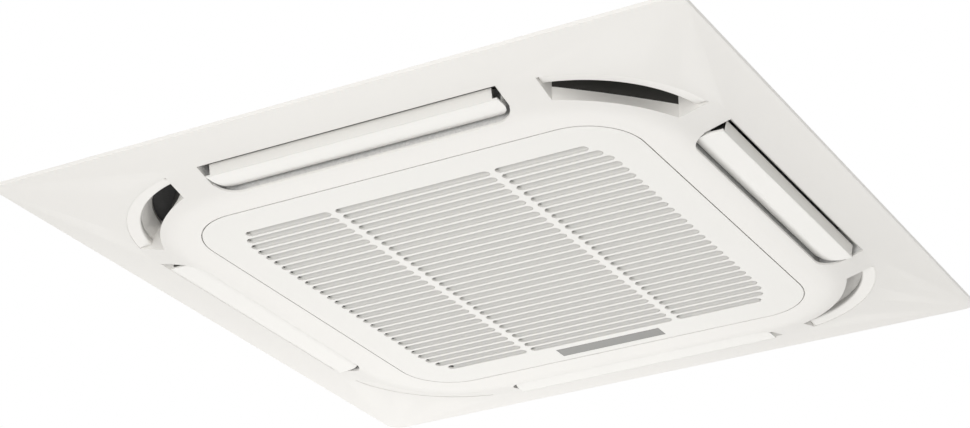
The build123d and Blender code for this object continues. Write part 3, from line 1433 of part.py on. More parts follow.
with BuildPart() as cable_gland:
    with BuildSketch(Plane.YZ.offset(-wall_x)):
        with Locations((cable_y, cable_z)):
            RegularPolygon(gland_radius, 6, major_radius=False)
    extrude(amount=-gland_length / 3)
    with BuildSketch(Plane.YZ.offset(-wall_x - gland_length / 3)):
        with Locations((cable_y, cable_z)):
            Circle(gland_radius)
    extrude(amount=-gland_length * 2 / 3, taper=8)
    with BuildSketch(Plane.YZ.offset(-wall_x)):
        with Locations((cable_y, cable_z)):
            Circle(gland_thread)
    extrude(amount=sheet)
    with BuildSketch(Plane.YZ.offset(-wall_x + sheet)):
        with Locations((cable_y, cable_z)):
            Circle(gland_bore)
    extrude(amount=-gland_length - sheet, mode=Mode.SUBTRACT)
cable_gland.part.label = "cable_gland"
export_step(cable_gland.part, "parts/cable_gland.step")

with BuildPart() as fresh_air_cover:
    with BuildSketch(Plane.XZ.offset(wall_x)):
        with Locations((fresh_air_x, 0)):
            Circle(fresh_air_radius)
    extrude(amount=sheet)
    with BuildSketch(Plane.XZ.offset(wall_x + sheet)):
        with Locations((fresh_air_x, 0)):
            with PolarLocations(fresh_air_radius - case_screw_head / 2, 4):
                Circle(case_screw_shank)
    extrude(amount=sheet)
fresh_air_cover.part.label = "fresh_air_cover"
export_step(fresh_air_cover.part, "parts/fresh_air_cover.step")

with BuildPart() as inlet_sensor:
    # thermistor clip on the bell mouth's flange
    with BuildSketch(Plane.XY.offset(bell_flange_z)):
        with Locations((bell_centre + bell_flange / 2, 0)):
            RectangleRounded(sensor_size, 2 * sensor_size, sensor_size / 4)
    extrude(amount=-sensor_size / 2)
inlet_sensor.part.label = "inlet_sensor"
export_step(inlet_sensor.part, "parts/inlet_sensor.step")
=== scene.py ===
"""Ceiling cassette air conditioner, dressed for a studio picture taken from below.

The file follows the object as it is put together: the panel that shows in the room first, then the
pieces in its air outlets and its grille, and then the casing above the ceiling with what it holds.
Sizes are metres in the model's own frame, +Z up, with the room below.
"""
import bpy
import bmesh
import math
from mathutils import Matrix, Vector


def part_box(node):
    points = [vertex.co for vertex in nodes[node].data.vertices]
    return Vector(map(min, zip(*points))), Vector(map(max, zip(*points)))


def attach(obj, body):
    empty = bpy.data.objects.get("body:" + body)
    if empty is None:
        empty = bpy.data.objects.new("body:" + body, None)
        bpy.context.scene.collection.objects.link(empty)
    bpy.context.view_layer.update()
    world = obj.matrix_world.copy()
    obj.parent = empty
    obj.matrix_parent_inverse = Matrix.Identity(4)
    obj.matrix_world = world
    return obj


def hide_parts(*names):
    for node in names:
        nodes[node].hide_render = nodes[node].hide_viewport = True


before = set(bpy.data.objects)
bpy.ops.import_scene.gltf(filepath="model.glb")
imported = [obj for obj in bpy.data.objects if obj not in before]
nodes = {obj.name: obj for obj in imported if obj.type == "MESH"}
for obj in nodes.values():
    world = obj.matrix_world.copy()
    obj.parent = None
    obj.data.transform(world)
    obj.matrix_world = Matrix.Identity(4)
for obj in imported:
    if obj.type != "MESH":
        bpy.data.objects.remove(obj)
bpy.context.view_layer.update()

# ----------------------------------------------------------------------------
# Room: a white ceiling board around the panel, a pale floor far below, soft light
# The board is there to be seen from below only, so that the casing shows from above.
# ----------------------------------------------------------------------------
CEILING_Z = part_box("panel_frame")[0].z + 0.030
FLOOR_Z = -4.0
CEILING_HALF, CUTOUT_HALF = 1.6, 0.471
FLOOR_HALF = 14.0


class Value:
    """A number that runs through a shader, on which Python arithmetic adds Math nodes."""

    def __init__(self, tree, socket):
        self.tree, self.socket = tree, socket

    def math(self, operation, other=None, swapped=False):
        node = self.tree.nodes.new("ShaderNodeMath")
        node.operation = operation
        operands = (self,) if other is None else ((other, self) if swapped else (self, other))
        for slot, operand in zip(node.inputs, operands):
            if isinstance(operand, Value):
                self.tree.links.new(operand.socket, slot)
            else:
                slot.default_value = operand
        return Value(self.tree, node.outputs[0])

    def __add__(self, other): return self.math("ADD", other)
    def __sub__(self, other): return self.math("SUBTRACT", other)
    def __rsub__(self, other): return self.math("SUBTRACT", other, swapped=True)
    def __mul__(self, other): return self.math("MULTIPLY", other)
    def __gt__(self, other): return self.math("GREATER_THAN", other)
    def __lt__(self, other): return self.math("LESS_THAN", other)
    __radd__, __rmul__ = __add__, __mul__


class Nodes:
    """A node tree under construction; node() adds any node and returns one of its outputs."""

    def set(self, node, inputs):
        for key, value in inputs.items():
            slot = node.inputs[key.replace("_", " ")]
            if isinstance(value, Value):
                self.tree.links.new(value.socket, slot)
            else:
                is_color = isinstance(value, tuple) and slot.type == "RGBA"
                slot.default_value = (*value, 1) if is_color else value

    def node(self, kind, settings=None, out=0, **inputs):
        node = self.tree.nodes.new(kind)
        for key, value in (settings or {}).items():
            setattr(node, key, value)
        self.set(node, inputs)
        return Value(self.tree, node.outputs[out])


class Finish(Nodes):
    """A material on a Principled shader."""

    def __init__(self, name, **inputs):
        self.material = bpy.data.materials.new(name)
        self.material.use_nodes = True
        self.tree = self.material.node_tree
        self.tree.nodes.clear()
        self.output = self.tree.nodes.new("ShaderNodeOutputMaterial")
        self.shader = self.tree.nodes.new("ShaderNodeBsdfPrincipled")
        self.tree.links.new(self.shader.outputs[0], self.output.inputs["Surface"])
        self.set(self.shader, inputs)

    def place(self, stretch=(1, 1, 1)):
        """Where a point lies on the object, stretched along an axis for a drawn or brushed grain."""
        place = self.node("ShaderNodeTexCoord", out="Object")
        return self.node("ShaderNodeMapping", Vector=place, Scale=stretch)

    def noise(self, scale, detail=2.0, stretch=(1, 1, 1)):
        return self.node("ShaderNodeTexNoise", Vector=self.place(stretch), Scale=scale, Detail=detail)

    def mix(self, factor, first, second):
        tint = self.tree.nodes.new("ShaderNodeMix")
        tint.data_type = "RGBA"
        slots = (tint.inputs[0], tint.inputs[6], tint.inputs[7])
        for slot, value in zip(slots, (factor, first, second)):
            if isinstance(value, Value):
                self.tree.links.new(value.socket, slot)
            else:
                slot.default_value = (*value, 1) if isinstance(value, tuple) else value
        return Value(self.tree, tint.outputs[2])

    def bump(self, height, strength, distance):
        normal = self.node("ShaderNodeBump", Height=height, Strength=strength, Distance=distance)
        self.set(self.shader, {"Normal": normal})


def one_sided(name, color, seen_white):
    """A stage surface that shows from its front alone; where asked, it is white to the camera."""
    finish = Finish(name, Base_Color=color, Roughness=0.9)
    behind = finish.node("ShaderNodeNewGeometry", out="Backfacing")
    clear = finish.node("ShaderNodeBsdfTransparent")
    front = Value(finish.tree, finish.shader.outputs[0])
    if seen_white:
        path = finish.tree.nodes.new("ShaderNodeLightPath")
        straight, mirrored = (Value(finish.tree, path.outputs[ray])
                              for ray in ("Is Camera Ray", "Is Glossy Ray"))
        seen = straight + mirrored
        glow = finish.node("ShaderNodeEmission", Color=(1.0, 1.0, 1.0), Strength=1.0)
        mixed = finish.tree.nodes.new("ShaderNodeMixShader")
        for slot, value in zip(mixed.inputs, (seen, front, glow)):
            finish.tree.links.new(value.socket, slot)
        front = Value(finish.tree, mixed.outputs[0])
    sides = finish.tree.nodes.new("ShaderNodeMixShader")
    for slot, value in zip(sides.inputs, (behind, front, clear)):
        finish.tree.links.new(value.socket, slot)
    finish.tree.links.new(sides.outputs[0], finish.output.inputs["Surface"])
    return finish.material


def stage_board(name, half, hole, z, facing_down, material):
    """A square board, with a square hole where one is asked for."""
    turns = ((-1, -1), (1, -1), (1, 1), (-1, 1))
    corners = [(x * size, y * size, z) for size in (half, hole) if size for x, y in turns]
    faces = [(i, (i + 1) % 4, (i + 1) % 4 + 4, i + 4) for i in range(4)] if hole else [(0, 1, 2, 3)]
    mesh = bpy.data.meshes.new(name)
    mesh.from_pydata(corners, [], [face[::-1] for face in faces] if facing_down else faces)
    mesh.materials.append(material)
    board = bpy.data.objects.new(name, mesh)
    bpy.context.scene.collection.objects.link(board)


ceiling_paint = one_sided("ceiling_paint", (0.9, 0.9, 0.9), True)
stage_board("ceiling_board", CEILING_HALF, CUTOUT_HALF, CEILING_Z, True, ceiling_paint)
floor_paint = one_sided("floor_paint", (0.86, 0.86, 0.86), False)
stage_board("room_floor", FLOOR_HALF, 0, FLOOR_Z, False, floor_paint)

scene = bpy.context.scene
scene.view_settings.view_transform = "Standard"
world = bpy.data.worlds.new("studio")
world.use_nodes = True
scene.world = world
sky = world.node_tree
sky_path = sky.nodes.new("ShaderNodeLightPath")
sky_light = sky.nodes["Background"]
sky_light.inputs["Color"].default_value = (1.0, 0.995, 0.985, 1)
sky_light.inputs["Strength"].default_value = 0.67
sky_seen = sky.nodes.new("ShaderNodeBackground")
sky_seen.inputs["Color"].default_value = (1, 1, 1, 1)
sky_mix = sky.nodes.new("ShaderNodeMixShader")
sky.links.new(sky_path.outputs["Is Camera Ray"], sky_mix.inputs[0])
sky.links.new(sky_light.outputs[0], sky_mix.inputs[1])
sky.links.new(sky_seen.outputs[0], sky_mix.inputs[2])
sky.links.new(sky_mix.outputs[0], sky.nodes["World Output"].inputs["Surface"])


def soft_box(name, place, target, size, power, color):
    lamp = bpy.data.lights.new(name, "AREA")
    lamp.shape = "DISK"
    lamp.size = size
    lamp.energy = power
    lamp.color = color
    holder = bpy.data.objects.new(name, lamp)
    holder.location = place
    holder.rotation_euler = (Vector(target) - Vector(place)).to_track_quat("-Z", "Y").to_euler()
    bpy.context.scene.collection.objects.link(holder)


soft_box("key_below", (-2.0, 3.3, -2.5), (0, 0, -0.2), 3.4, 66, (1.0, 0.99, 0.975))
soft_box("fill_front", (0.5, -3.6, -1.35), (0, 0, -0.2), 1.6, 44, (1.0, 0.995, 0.99))
soft_box("key_above", (-2.0, -2.4, 2.6), (0, 0, 0), 2.0, 70, (1.0, 0.99, 0.96))

# Camera, solved from the panel's four corners in the photograph
PANEL_RIM_Z = CEILING_Z - 0.005
camera_place = Vector((1.425786, -2.550695, PANEL_RIM_Z - 1.381949))
camera_right = Vector((0.88791, 0.45972, -0.01623)).normalized()
camera_forward = Vector((-0.40635, 0.80039, 0.44074)).normalized()
camera_up = camera_right.cross(camera_forward).normalized()
lens = bpy.data.cameras.new("camera")
lens.sensor_width = 36.0
lens.lens = 36.0 * 2.5330
lens.shift_x = -0.11856
camera = bpy.data.objects.new("camera", lens)
camera.matrix_world = Matrix.Translation(camera_place) @ Matrix(
    (camera_right, camera_up, -camera_forward)).transposed().to_4x4()
scene.collection.objects.link(camera)
scene.camera = camera

# ----------------------------------------------------------------------------
# Panel frame: one large moulding in warm white plastic, screwed up under the casing
# It is the model's own shape, welded, with its edges rounded to catch the light.
# ----------------------------------------------------------------------------
PANEL_WHITE = (0.86, 0.845, 0.815)


def moulded(name, color, roughness, grain=1400.0, grain_depth=0.00002):
    """Satin moulded plastic: a fine spark-eroded grain and a faint drift in tone and gloss."""
    finish = Finish(name)
    cloud = finish.noise(7.0, 3.0)
    darker = tuple(channel * 0.975 for channel in color)
    finish.set(finish.shader, {
        "Base Color": finish.mix(cloud, darker, color),
        "Roughness": cloud * 0.08 + roughness,
    })
    finish.bump(finish.noise(grain), 0.25, grain_depth)
    return finish.material


def dress(material, *names):
    """Gives CAD nodes their finish; their shape stays."""
    for name in names:
        nodes[name].data.materials.clear()
        nodes[name].data.materials.append(material)


def welded(node, body, material, bevel=0.0, angle=32.0):
    """A smooth-shaded copy of a CAD node, its triangles welded, which stands for the node."""
    mesh = nodes[node].data.copy()
    mesh.name = node + "_skin"
    mesh.materials.clear()
    mesh.materials.append(material)
    weld = bmesh.new()
    weld.from_mesh(mesh)
    bmesh.ops.remove_doubles(weld, verts=weld.verts, dist=1e-6)
    bmesh.ops.dissolve_limit(weld, angle_limit=math.radians(0.5), verts=weld.verts, edges=weld.edges)
    limit = math.radians(angle)
    for face in weld.faces:
        face.smooth = True
        face.material_index = 0
    for edge in weld.edges:
        edge.smooth = len(edge.link_faces) == 2 and edge.calc_face_angle(0) < limit
    weld.to_mesh(mesh)
    weld.free()
    piece = bpy.data.objects.new(node + "_skin", mesh)
    bpy.context.scene.collection.objects.link(piece)
    if bevel:
        edge_round = piece.modifiers.new("soft_edges", "BEVEL")
        edge_round.width = bevel
        edge_round.segments = 2
        edge_round.limit_method = "ANGLE"
        edge_round.angle_limit = limit
    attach(piece, body)
    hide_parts(node)
    return piece


panel_plastic = moulded("panel_plastic", PANEL_WHITE, 0.42)
panel = welded("panel_frame", "casing", panel_plastic, bevel=0.0006)

# ----------------------------------------------------------------------------
# Corner outlets: painted shade, near black with the pores of cellular foam, on the wall on the island's
# side above the rim
# It ends along a level line cut into the moulding, which stays white below it.
# ----------------------------------------------------------------------------
PAINTED_SHADE_FOOT = PANEL_RIM_Z - 0.002
CORNER_CENTRE = 0.217
CORNER_CLEAR, CORNER_REACH = 0.09, 0.166
LEAST_OUTWARD, MOST_LEVEL = 0.8, 0.7

# Painted shade: a near-black colour on the wall that stands in for the shadowed hollow behind the corner
# outlet.
painted_shade_sheet = Finish("painted_shade_sheet_foam", Roughness=0.9)
pores = painted_shade_sheet.noise(900.0)
painted_shade_sheet.set(painted_shade_sheet.shader, {
    "Base Color": painted_shade_sheet.mix(pores, (0.030, 0.029, 0.026), (0.048, 0.047, 0.043)),
})
painted_shade_sheet.bump(pores, 0.4, 0.0001)
panel.data.materials.append(painted_shade_sheet.material)


def on_island_wall(face):
    """Whether a face is part of a corner outlet's wall on the island's side."""
    spot = face.calc_center_median()
    away = Vector((abs(spot.x) - CORNER_CENTRE, abs(spot.y) - CORNER_CENTRE))
    outward = face.normal.x * math.copysign(1, spot.x) + face.normal.y * math.copysign(1, spot.y)
    near = min(away) > 0 and CORNER_CLEAR < away.length < CORNER_REACH
    return near and outward > LEAST_OUTWARD and abs(face.normal.z) < MOST_LEVEL


outlet = bmesh.new()
outlet.from_mesh(panel.data)
wall_faces = [face for face in outlet.faces if on_island_wall(face)]
wall_parts = wall_faces + list({edge for face in wall_faces for edge in face.edges})
wall_parts += list({vertex for face in wall_faces for vertex in face.verts})
bmesh.ops.bisect_plane(outlet, geom=wall_parts, plane_co=(0, 0, PAINTED_SHADE_FOOT), plane_no=(0, 0, 1))
outlet.normal_update()
# Faces above the level line take the painted shade.
for face in outlet.faces:
    if face.calc_center_median().z > PAINTED_SHADE_FOOT and on_island_wall(face):
        face.material_index = 1
outlet.to_mesh(panel.data)
outlet.free()

# Round the outside of each corner outlet the lip runs on as a narrow ledge, which then drops back.
LIP_RADIUS = 0.1955
LEDGE_WIDTH = 0.0195
LEDGE_LEVELS = (PANEL_RIM_Z - 0.0092, PANEL_RIM_Z - 0.0078, PANEL_RIM_Z + 0.001)
LEDGE_TURN = math.radians(12.9)
LEDGE_STEPS = 40

ledge_edge = LIP_RADIUS - LEDGE_WIDTH
section = tuple(zip((LIP_RADIUS, ledge_edge, ledge_edge), LEDGE_LEVELS))
corner_sweep = (math.pi / 2 - 2 * LEDGE_TURN) / LEDGE_STEPS
ledge = bmesh.new()
for quarter in range(4):
    centre = Matrix.Rotation(quarter * math.pi / 2, 2) @ Vector((CORNER_CENTRE, CORNER_CENTRE))
    rings = []
    for step in range(LEDGE_STEPS + 1):
        angle = quarter * math.pi / 2 + LEDGE_TURN + step * corner_sweep
        across, along = math.cos(angle), math.sin(angle)
        rings.append([ledge.verts.new((centre.x + radius * across, centre.y + radius * along, level))
                      for radius, level in section])
    for here, there in zip(rings, rings[1:]):
        for side in range(3):
            ledge.faces.new((here[side], here[side - 1], there[side - 1], there[side]))
    ledge.faces.new(rings[0])
    ledge.faces.new(rings[-1][::-1])
bmesh.ops.recalc_face_normals(ledge, faces=ledge.faces)
for face in ledge.faces:
    face.smooth = True
for edge in ledge.edges:
    edge.smooth = edge.calc_face_angle(0) < math.radians(32)
ledge_mesh = bpy.data.meshes.new("outlet_ledges")
ledge.to_mesh(ledge_mesh)
ledge.free()
ledge_mesh.materials.append(panel_plastic)
ledges = bpy.data.objects.new("outlet_ledges", ledge_mesh)
scene.collection.objects.link(ledges)
ledge_round = ledges.modifiers.new("soft_edges", "BEVEL")
ledge_round.width = 0.0025
ledge_round.segments = 4
ledge_round.limit_method = "ANGLE"
ledge_round.angle_limit = math.radians(60)
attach(ledges, "casing")

# ----------------------------------------------------------------------------
# Foam behind the panel: light blocks with the four air ducts, and near-black ones over the corner outlets
# as painted shade
# Both are moulded from expanded beads. Thin black strips seal the ducts to the casing.
# ----------------------------------------------------------------------------
def bead_foam(name, color, bead=0.0035):
    """Expanded foam: soft domed beads, each a little lighter or darker than the next."""
    finish = Finish(name, Roughness=0.85)
    beads = finish.node("ShaderNodeTexVoronoi", out="Distance", Vector=finish.place(), Scale=1 / bead)
    tone = finish.node("ShaderNodeTexVoronoi", out="Color", Vector=finish.place(), Scale=1 / bead)
    shade = finish.node("ShaderNodeSeparateColor", Color=tone)
    darker = tuple(channel * 0.88 for channel in color)
    finish.set(finish.shader, {"Base Color": finish.mix(shade, darker, color)})
    finish.bump(1 - beads, 0.5, bead / 8)
    return finish.material


def rubbery(name, color, roughness=0.7):
    """Soft rubber or cellular foam: matt, finely pitted, paler where it is scuffed."""
    finish = Finish(name, Roughness=roughness)
    scuff = finish.noise(60.0, 4.0)
    paler = tuple(channel * 1.6 + 0.01 for channel in color)
    finish.set(finish.shader, {"Base Color": finish.mix(scuff * 0.6, color, paler)})
    finish.bump(finish.noise(900.0), 0.4, 0.0001)
    return finish.material


duct_foam = bead_foam("duct_foam", (0.80, 0.795, 0.78))
dress(duct_foam, "duct_blocks")
# Painted shade: the corner blocks are near black so the hollows behind the corner outlets look shadowed.
dress(bead_foam("corner_painted_shade_foam", (0.045, 0.045, 0.045)), "corner_blocks")
black_seal = rubbery("black_seal", (0.03, 0.03, 0.03))
dress(black_seal, "panel_seal")

# ----------------------------------------------------------------------------
# Louvres: four thin curved blades of smooth white plastic in the long outlets
# Each turns on a pin in a bush at one end and in its stepper motor's hub at the other.
# ----------------------------------------------------------------------------
SIDES = ("back", "left", "front", "right")


class Shape(Nodes):
    """A Geometry Nodes tree that makes one piece; its sizes are named inputs."""

    def __init__(self, name, **sizes):
        self.tree = bpy.data.node_groups.new(name, "GeometryNodeTree")
        self.tree.interface.new_socket("Geometry", in_out="OUTPUT", socket_type="NodeSocketGeometry")
        self.sizes = {}
        for size, value in sizes.items():
            kind = "NodeSocketInt" if isinstance(value, int) else "NodeSocketFloat"
            socket = self.tree.interface.new_socket(size, in_out="INPUT", socket_type=kind)
            self.sizes[socket.identifier] = value
        self.given = self.tree.nodes.new("NodeGroupInput")

    def __getitem__(self, size):
        return Value(self.tree, self.given.outputs[size])

    def vector(self, x, y, z):
        return self.node("ShaderNodeCombineXYZ", X=x, Y=y, Z=z)

    def box(self, x, y, z):
        return self.node("GeometryNodeMeshCube", Size=self.vector(x, y, z))

    def row(self, count, start, step):
        """Points in a row from start, each a step on from the last."""
        return self.node("GeometryNodeMeshLine", {"mode": "OFFSET"}, Count=count,
                         Start_Location=start, Offset=step)

    def placed(self, geometry, spot=(0, 0, 0), turn=(0, 0, 0)):
        return self.node("GeometryNodeTransform", Geometry=geometry, Translation=spot, Rotation=turn)

    def joined(self, *parts):
        joint = self.tree.nodes.new("GeometryNodeJoinGeometry")
        for part in parts:
            self.tree.links.new(part.socket, joint.inputs[0])
        return Value(self.tree, joint.outputs[0])

    def piece(self, geometry, name, material, body, *replaced):
        """Ends the tree and turns its result into a plain mesh that rides on a body."""
        solid = self.node("GeometryNodeRealizeInstances", Geometry=geometry)
        dressed = self.node("GeometryNodeSetMaterial", Geometry=solid, Material=material)
        ending = self.tree.nodes.new("NodeGroupOutput")
        self.tree.links.new(dressed.socket, ending.inputs[0])
        made = bpy.data.objects.new(name, bpy.data.meshes.new(name + "_seed"))
        bpy.context.scene.collection.objects.link(made)
        maker = made.modifiers.new("maker", "NODES")
        maker.node_group = self.tree
        for identifier, value in self.sizes.items():
            maker[identifier] = value
        result = made.evaluated_get(bpy.context.evaluated_depsgraph_get())
        made_mesh = bpy.data.meshes.new_from_object(result)
        made.modifiers.remove(maker)
        made.data = made_mesh
        made_mesh.name = name
        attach(made, body)
        if replaced:
            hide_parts(*replaced)
        return made


louver_plastic = moulded("louver_plastic", (0.82, 0.81, 0.78), 0.33, 1800.0, 0.00001)
for side in SIDES:
    welded(f"louver_{side}", f"louver_{side}", louver_plastic, bevel=0.0003)

# Along its outer edge a blade turns up in a thin stiffening flange, between its two ears.
FLANGE_LEAN = math.radians(12)
FLANGE_LENGTH = 0.394
FLANGE_SHEET, FLANGE_RISE = 0.0018, 0.0144
FLANGE_REACH, FLANGE_LEVEL = 0.0005, 0.0083
blade_low, blade_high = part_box("louver_back")
for quarter, side in enumerate(SIDES):
    flange = Shape(f"louver_flange_{side}", length=FLANGE_LENGTH, sheet=FLANGE_SHEET, rise=FLANGE_RISE,
                   reach=blade_high.y + FLANGE_REACH, level=blade_low.z + FLANGE_LEVEL)
    strip = flange.placed(flange.box(flange["length"], flange["sheet"], flange["rise"]),
                          spot=flange.vector(0.0, flange["reach"], flange["level"]),
                          turn=(-FLANGE_LEAN, 0, 0))
    strip = flange.placed(strip, turn=(0, 0, quarter * math.pi / 2))
    turned_up = flange.piece(strip, f"louver_flange_{side}", louver_plastic, f"louver_{side}")
    edge_round = turned_up.modifiers.new("soft_edges", "BEVEL")
    edge_round.width = 0.0006
    edge_round.segments = 2
motor_plastic = moulded("motor_plastic", (0.70, 0.70, 0.67), 0.4)
dress(motor_plastic, *[f"louver_motor_{side}" for side in SIDES])
dress(moulded("bush_plastic", (0.40, 0.41, 0.42), 0.35), "pivot_bushes")

# ----------------------------------------------------------------------------
# Intake grille: a flat moulded plate with rows of long slots, and slats leaning behind them
# It is one moulding in the panel's white plastic, so it is the model's own shape, welded.
# ----------------------------------------------------------------------------
grille_plastic = moulded("grille_plastic", (0.86, 0.85, 0.82), 0.45)
welded("intake_grille", "grille", grille_plastic)

# ----------------------------------------------------------------------------
# Display: a smoked strip let into the grille, with its lamp board behind
# The strip goes in from behind, where its lip overlaps; the board is lacquered laminate.
# ----------------------------------------------------------------------------
WINDOW_GREY = (0.19, 0.19, 0.178)

smoked = Finish("smoked_window", Roughness=0.45)
haze = smoked.noise(40.0, 3.0)
paler_grey = tuple(channel * 1.08 for channel in WINDOW_GREY)
smoked.set(smoked.shader, {"Base Color": smoked.mix(haze, WINDOW_GREY, paler_grey)})
welded("display_window", "grille", smoked.material, bevel=0.0003)


def circuit_laminate(name):
    """Glass-fibre board: green lacquer over faint copper tracks on a square layout."""
    finish = Finish(name, Roughness=0.35)
    tracks = finish.node("ShaderNodeTexBrick", Vector=finish.place(), Scale=260.0, Mortar_Size=0.012,
                         Color1=(0.010, 0.11, 0.045), Color2=(0.012, 0.13, 0.05),
                         Mortar=(0.05, 0.26, 0.10))
    finish.set(finish.shader, {"Base Color": tracks})
    finish.bump(finish.noise(500.0), 0.3, 0.00005)
    return finish.material


board_green = circuit_laminate("board_green")
dress(board_green, "display_board")

# ----------------------------------------------------------------------------
# Hinge and catches: two moulded arms on steel pins at the back of the grille, and at its front
# two strikers that meet sprung plungers in housings on the frame
# ----------------------------------------------------------------------------
def bright_steel(name, color=(0.60, 0.60, 0.61), roughness=0.28, stretch=(1, 1, 30)):
    """Plated steel: fine drawn lines, a dulled film here and there."""
    finish = Finish(name, Metallic=1.0)
    lines = finish.noise(220.0, 2.0, stretch)
    film = finish.noise(35.0, 4.0)
    finish.set(finish.shader, {
        "Base Color": finish.mix(film, tuple(channel * 0.85 for channel in color), color),
        "Roughness": film * 0.18 + roughness,
    })
    finish.bump(lines, 0.15, 0.00004)
    return finish.material


steel = bright_steel("plated_steel")
dress(moulded("arm_plastic", PANEL_WHITE, 0.42), "hinge_arms", "catch_strikers")
dress(steel, "hinge_pins", "panel_screws")
dress(motor_plastic, "catch_plunger_left", "catch_plunger_right")
dress(moulded("catch_plastic", (0.40, 0.41, 0.42), 0.4), "catch_housings")

# ----------------------------------------------------------------------------
# Air filter: a dark moulded frame that carries a fine woven net, and lifts out of the grille
# The net's strands lie in the frame's rounded window and are welded into its edge.
# ----------------------------------------------------------------------------
filter_low, filter_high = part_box("filter_frame")
net_low, net_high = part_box("filter_mesh")
FILTER_BAR = 0.009

net = Shape("filter_net", pitch=0.0022, strand=0.0004, corner=0.031,
            length=filter_high.x - filter_low.x - FILTER_BAR,
            width=filter_high.y - filter_low.y - FILTER_BAR, level=(net_low.z + net_high.z) / 2)


def net_strands(run, across):
    """Strands along X, shortened towards the net's rounded corners, as wide apart as the pitch."""
    count = net.node("FunctionNodeFloatToInt", {"rounding_mode": "FLOOR"},
                     Float=across.math("DIVIDE", net["pitch"]))
    order = net.node("GeometryNodeInputIndex")
    place = net["pitch"] * (order + 0.5) - across * 0.5
    past = (place.math("ABSOLUTE") - across * 0.5 + net["corner"]).math("MAXIMUM", 0.0)
    reach = (net["corner"] * net["corner"] - past * past).math("MAXIMUM", 0.0).math("SQRT")
    length = run - net["corner"] * 2 + reach * 2
    points = net.row(count, net.vector(0.0, net["pitch"] * 0.5 - across * 0.5, 0.0),
                     net.vector(0.0, net["pitch"], 0.0))
    return net.node("GeometryNodeInstanceOnPoints", Points=points, Scale=net.vector(length, 1.0, 1.0),
                    Instance=net.box(1.0, net["strand"], net["strand"]))


lengthwise = net_strands(net["length"], net["width"])
crosswise = net.placed(net_strands(net["width"], net["length"]), turn=(0, 0, math.pi / 2))
woven = net.placed(net.joined(lengthwise, crosswise), spot=net.vector(0.0, 0.0, net["level"]))
net_thread = Finish("net_thread", Roughness=0.55)
dust = net_thread.noise(90.0, 3.0)
net_thread.set(net_thread.shader, {
    "Base Color": net_thread.mix(dust, (0.035, 0.038, 0.042), (0.075, 0.08, 0.085)),
})
net.piece(woven, "filter_net", net_thread.material, "filter", "filter_mesh")
dress(moulded("filter_plastic", (0.05, 0.055, 0.06), 0.45), "filter_frame")

# ----------------------------------------------------------------------------
# Casing: folded plates of zinc-coated sheet, a lid with pressed beads and four hanger lugs
# Black cellular insulation lines the plates and the lid inside.
# ----------------------------------------------------------------------------
def zinc_sheet(name, color=(0.60, 0.62, 0.63), flake=0.009):
    """Galvanised steel: a mosaic of zinc crystals, each with its own gloss, under a dull film."""
    finish = Finish(name, Metallic=1.0)
    crystal = finish.node("ShaderNodeTexVoronoi", {"distance": "MANHATTAN"}, out="Color",
                          Vector=finish.place(), Scale=1 / flake)
    shade = finish.node("ShaderNodeSeparateColor", Color=crystal)
    film = finish.noise(9.0, 5.0)
    duller = tuple(channel * 0.80 for channel in color)
    finish.set(finish.shader, {
        "Base Color": finish.mix(shade * 0.7 + film * 0.3, duller, color),
        "Roughness": shade * 0.16 + film * 0.12 + 0.30,
    })
    finish.bump(film, 0.1, 0.0004)
    return finish.material


zinc = zinc_sheet("zinc_sheet")
dress(zinc, "casing_sides", "hanger_lugs", "pipe_cover", "fresh_air_cover", "control_box", "control_lid",
      "coil_plates", "pump_bracket")
welded("casing_top", "casing", zinc, angle=20.0)
dress(steel, "casing_screws")
dress(rubbery("black_lining", (0.022, 0.022, 0.024), 0.85), "side_lining", "top_lining")

# ----------------------------------------------------------------------------
# Drain pan: a thick foam moulding that closes the casing from below
# It is moulded from grey expanded beads, with a hole for the bell mouth.
# ----------------------------------------------------------------------------
dress(bead_foam("pan_foam", (0.60, 0.60, 0.59), 0.004), "drain_pan")

# ----------------------------------------------------------------------------
# Bell mouth, fan wheel and motor: black moulded fan with backward-curved blades in a smooth inlet
# The pressed steel motor hangs from the lid on rubber mounts.
# ----------------------------------------------------------------------------
fan_plastic = moulded("fan_plastic", (0.028, 0.028, 0.03), 0.38, 900.0)
welded("bell_mouth", "casing", fan_plastic)
welded("fan_wheel", "fan", fan_plastic, angle=28.0)
dress(fan_plastic, "inlet_sensor", "drain_float")
can = Finish("motor_enamel", Metallic=0.4)
can.set(can.shader, {
    "Base Color": can.mix(can.noise(25.0, 4.0), (0.05, 0.053, 0.056), (0.085, 0.088, 0.09)),
    "Roughness": can.noise(60.0) * 0.15 + 0.32,
})
can.bump(can.noise(500.0), 0.25, 0.00006)
dress(can.material, "fan_motor")
dress(rubbery("black_rubber", (0.02, 0.02, 0.02), 0.6), "motor_mounts")
dress(steel, "motor_shaft", "fan_nut")

# ----------------------------------------------------------------------------
# Coil: hundreds of thin aluminium fins on copper tubes, bent round the fan with one corner open
# The fins are set one by one along the coil's rounded path.
# ----------------------------------------------------------------------------
coil_low, coil_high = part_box("coil_fins")
COIL_DEPTH = 0.040
COIL_OPEN = 0.190

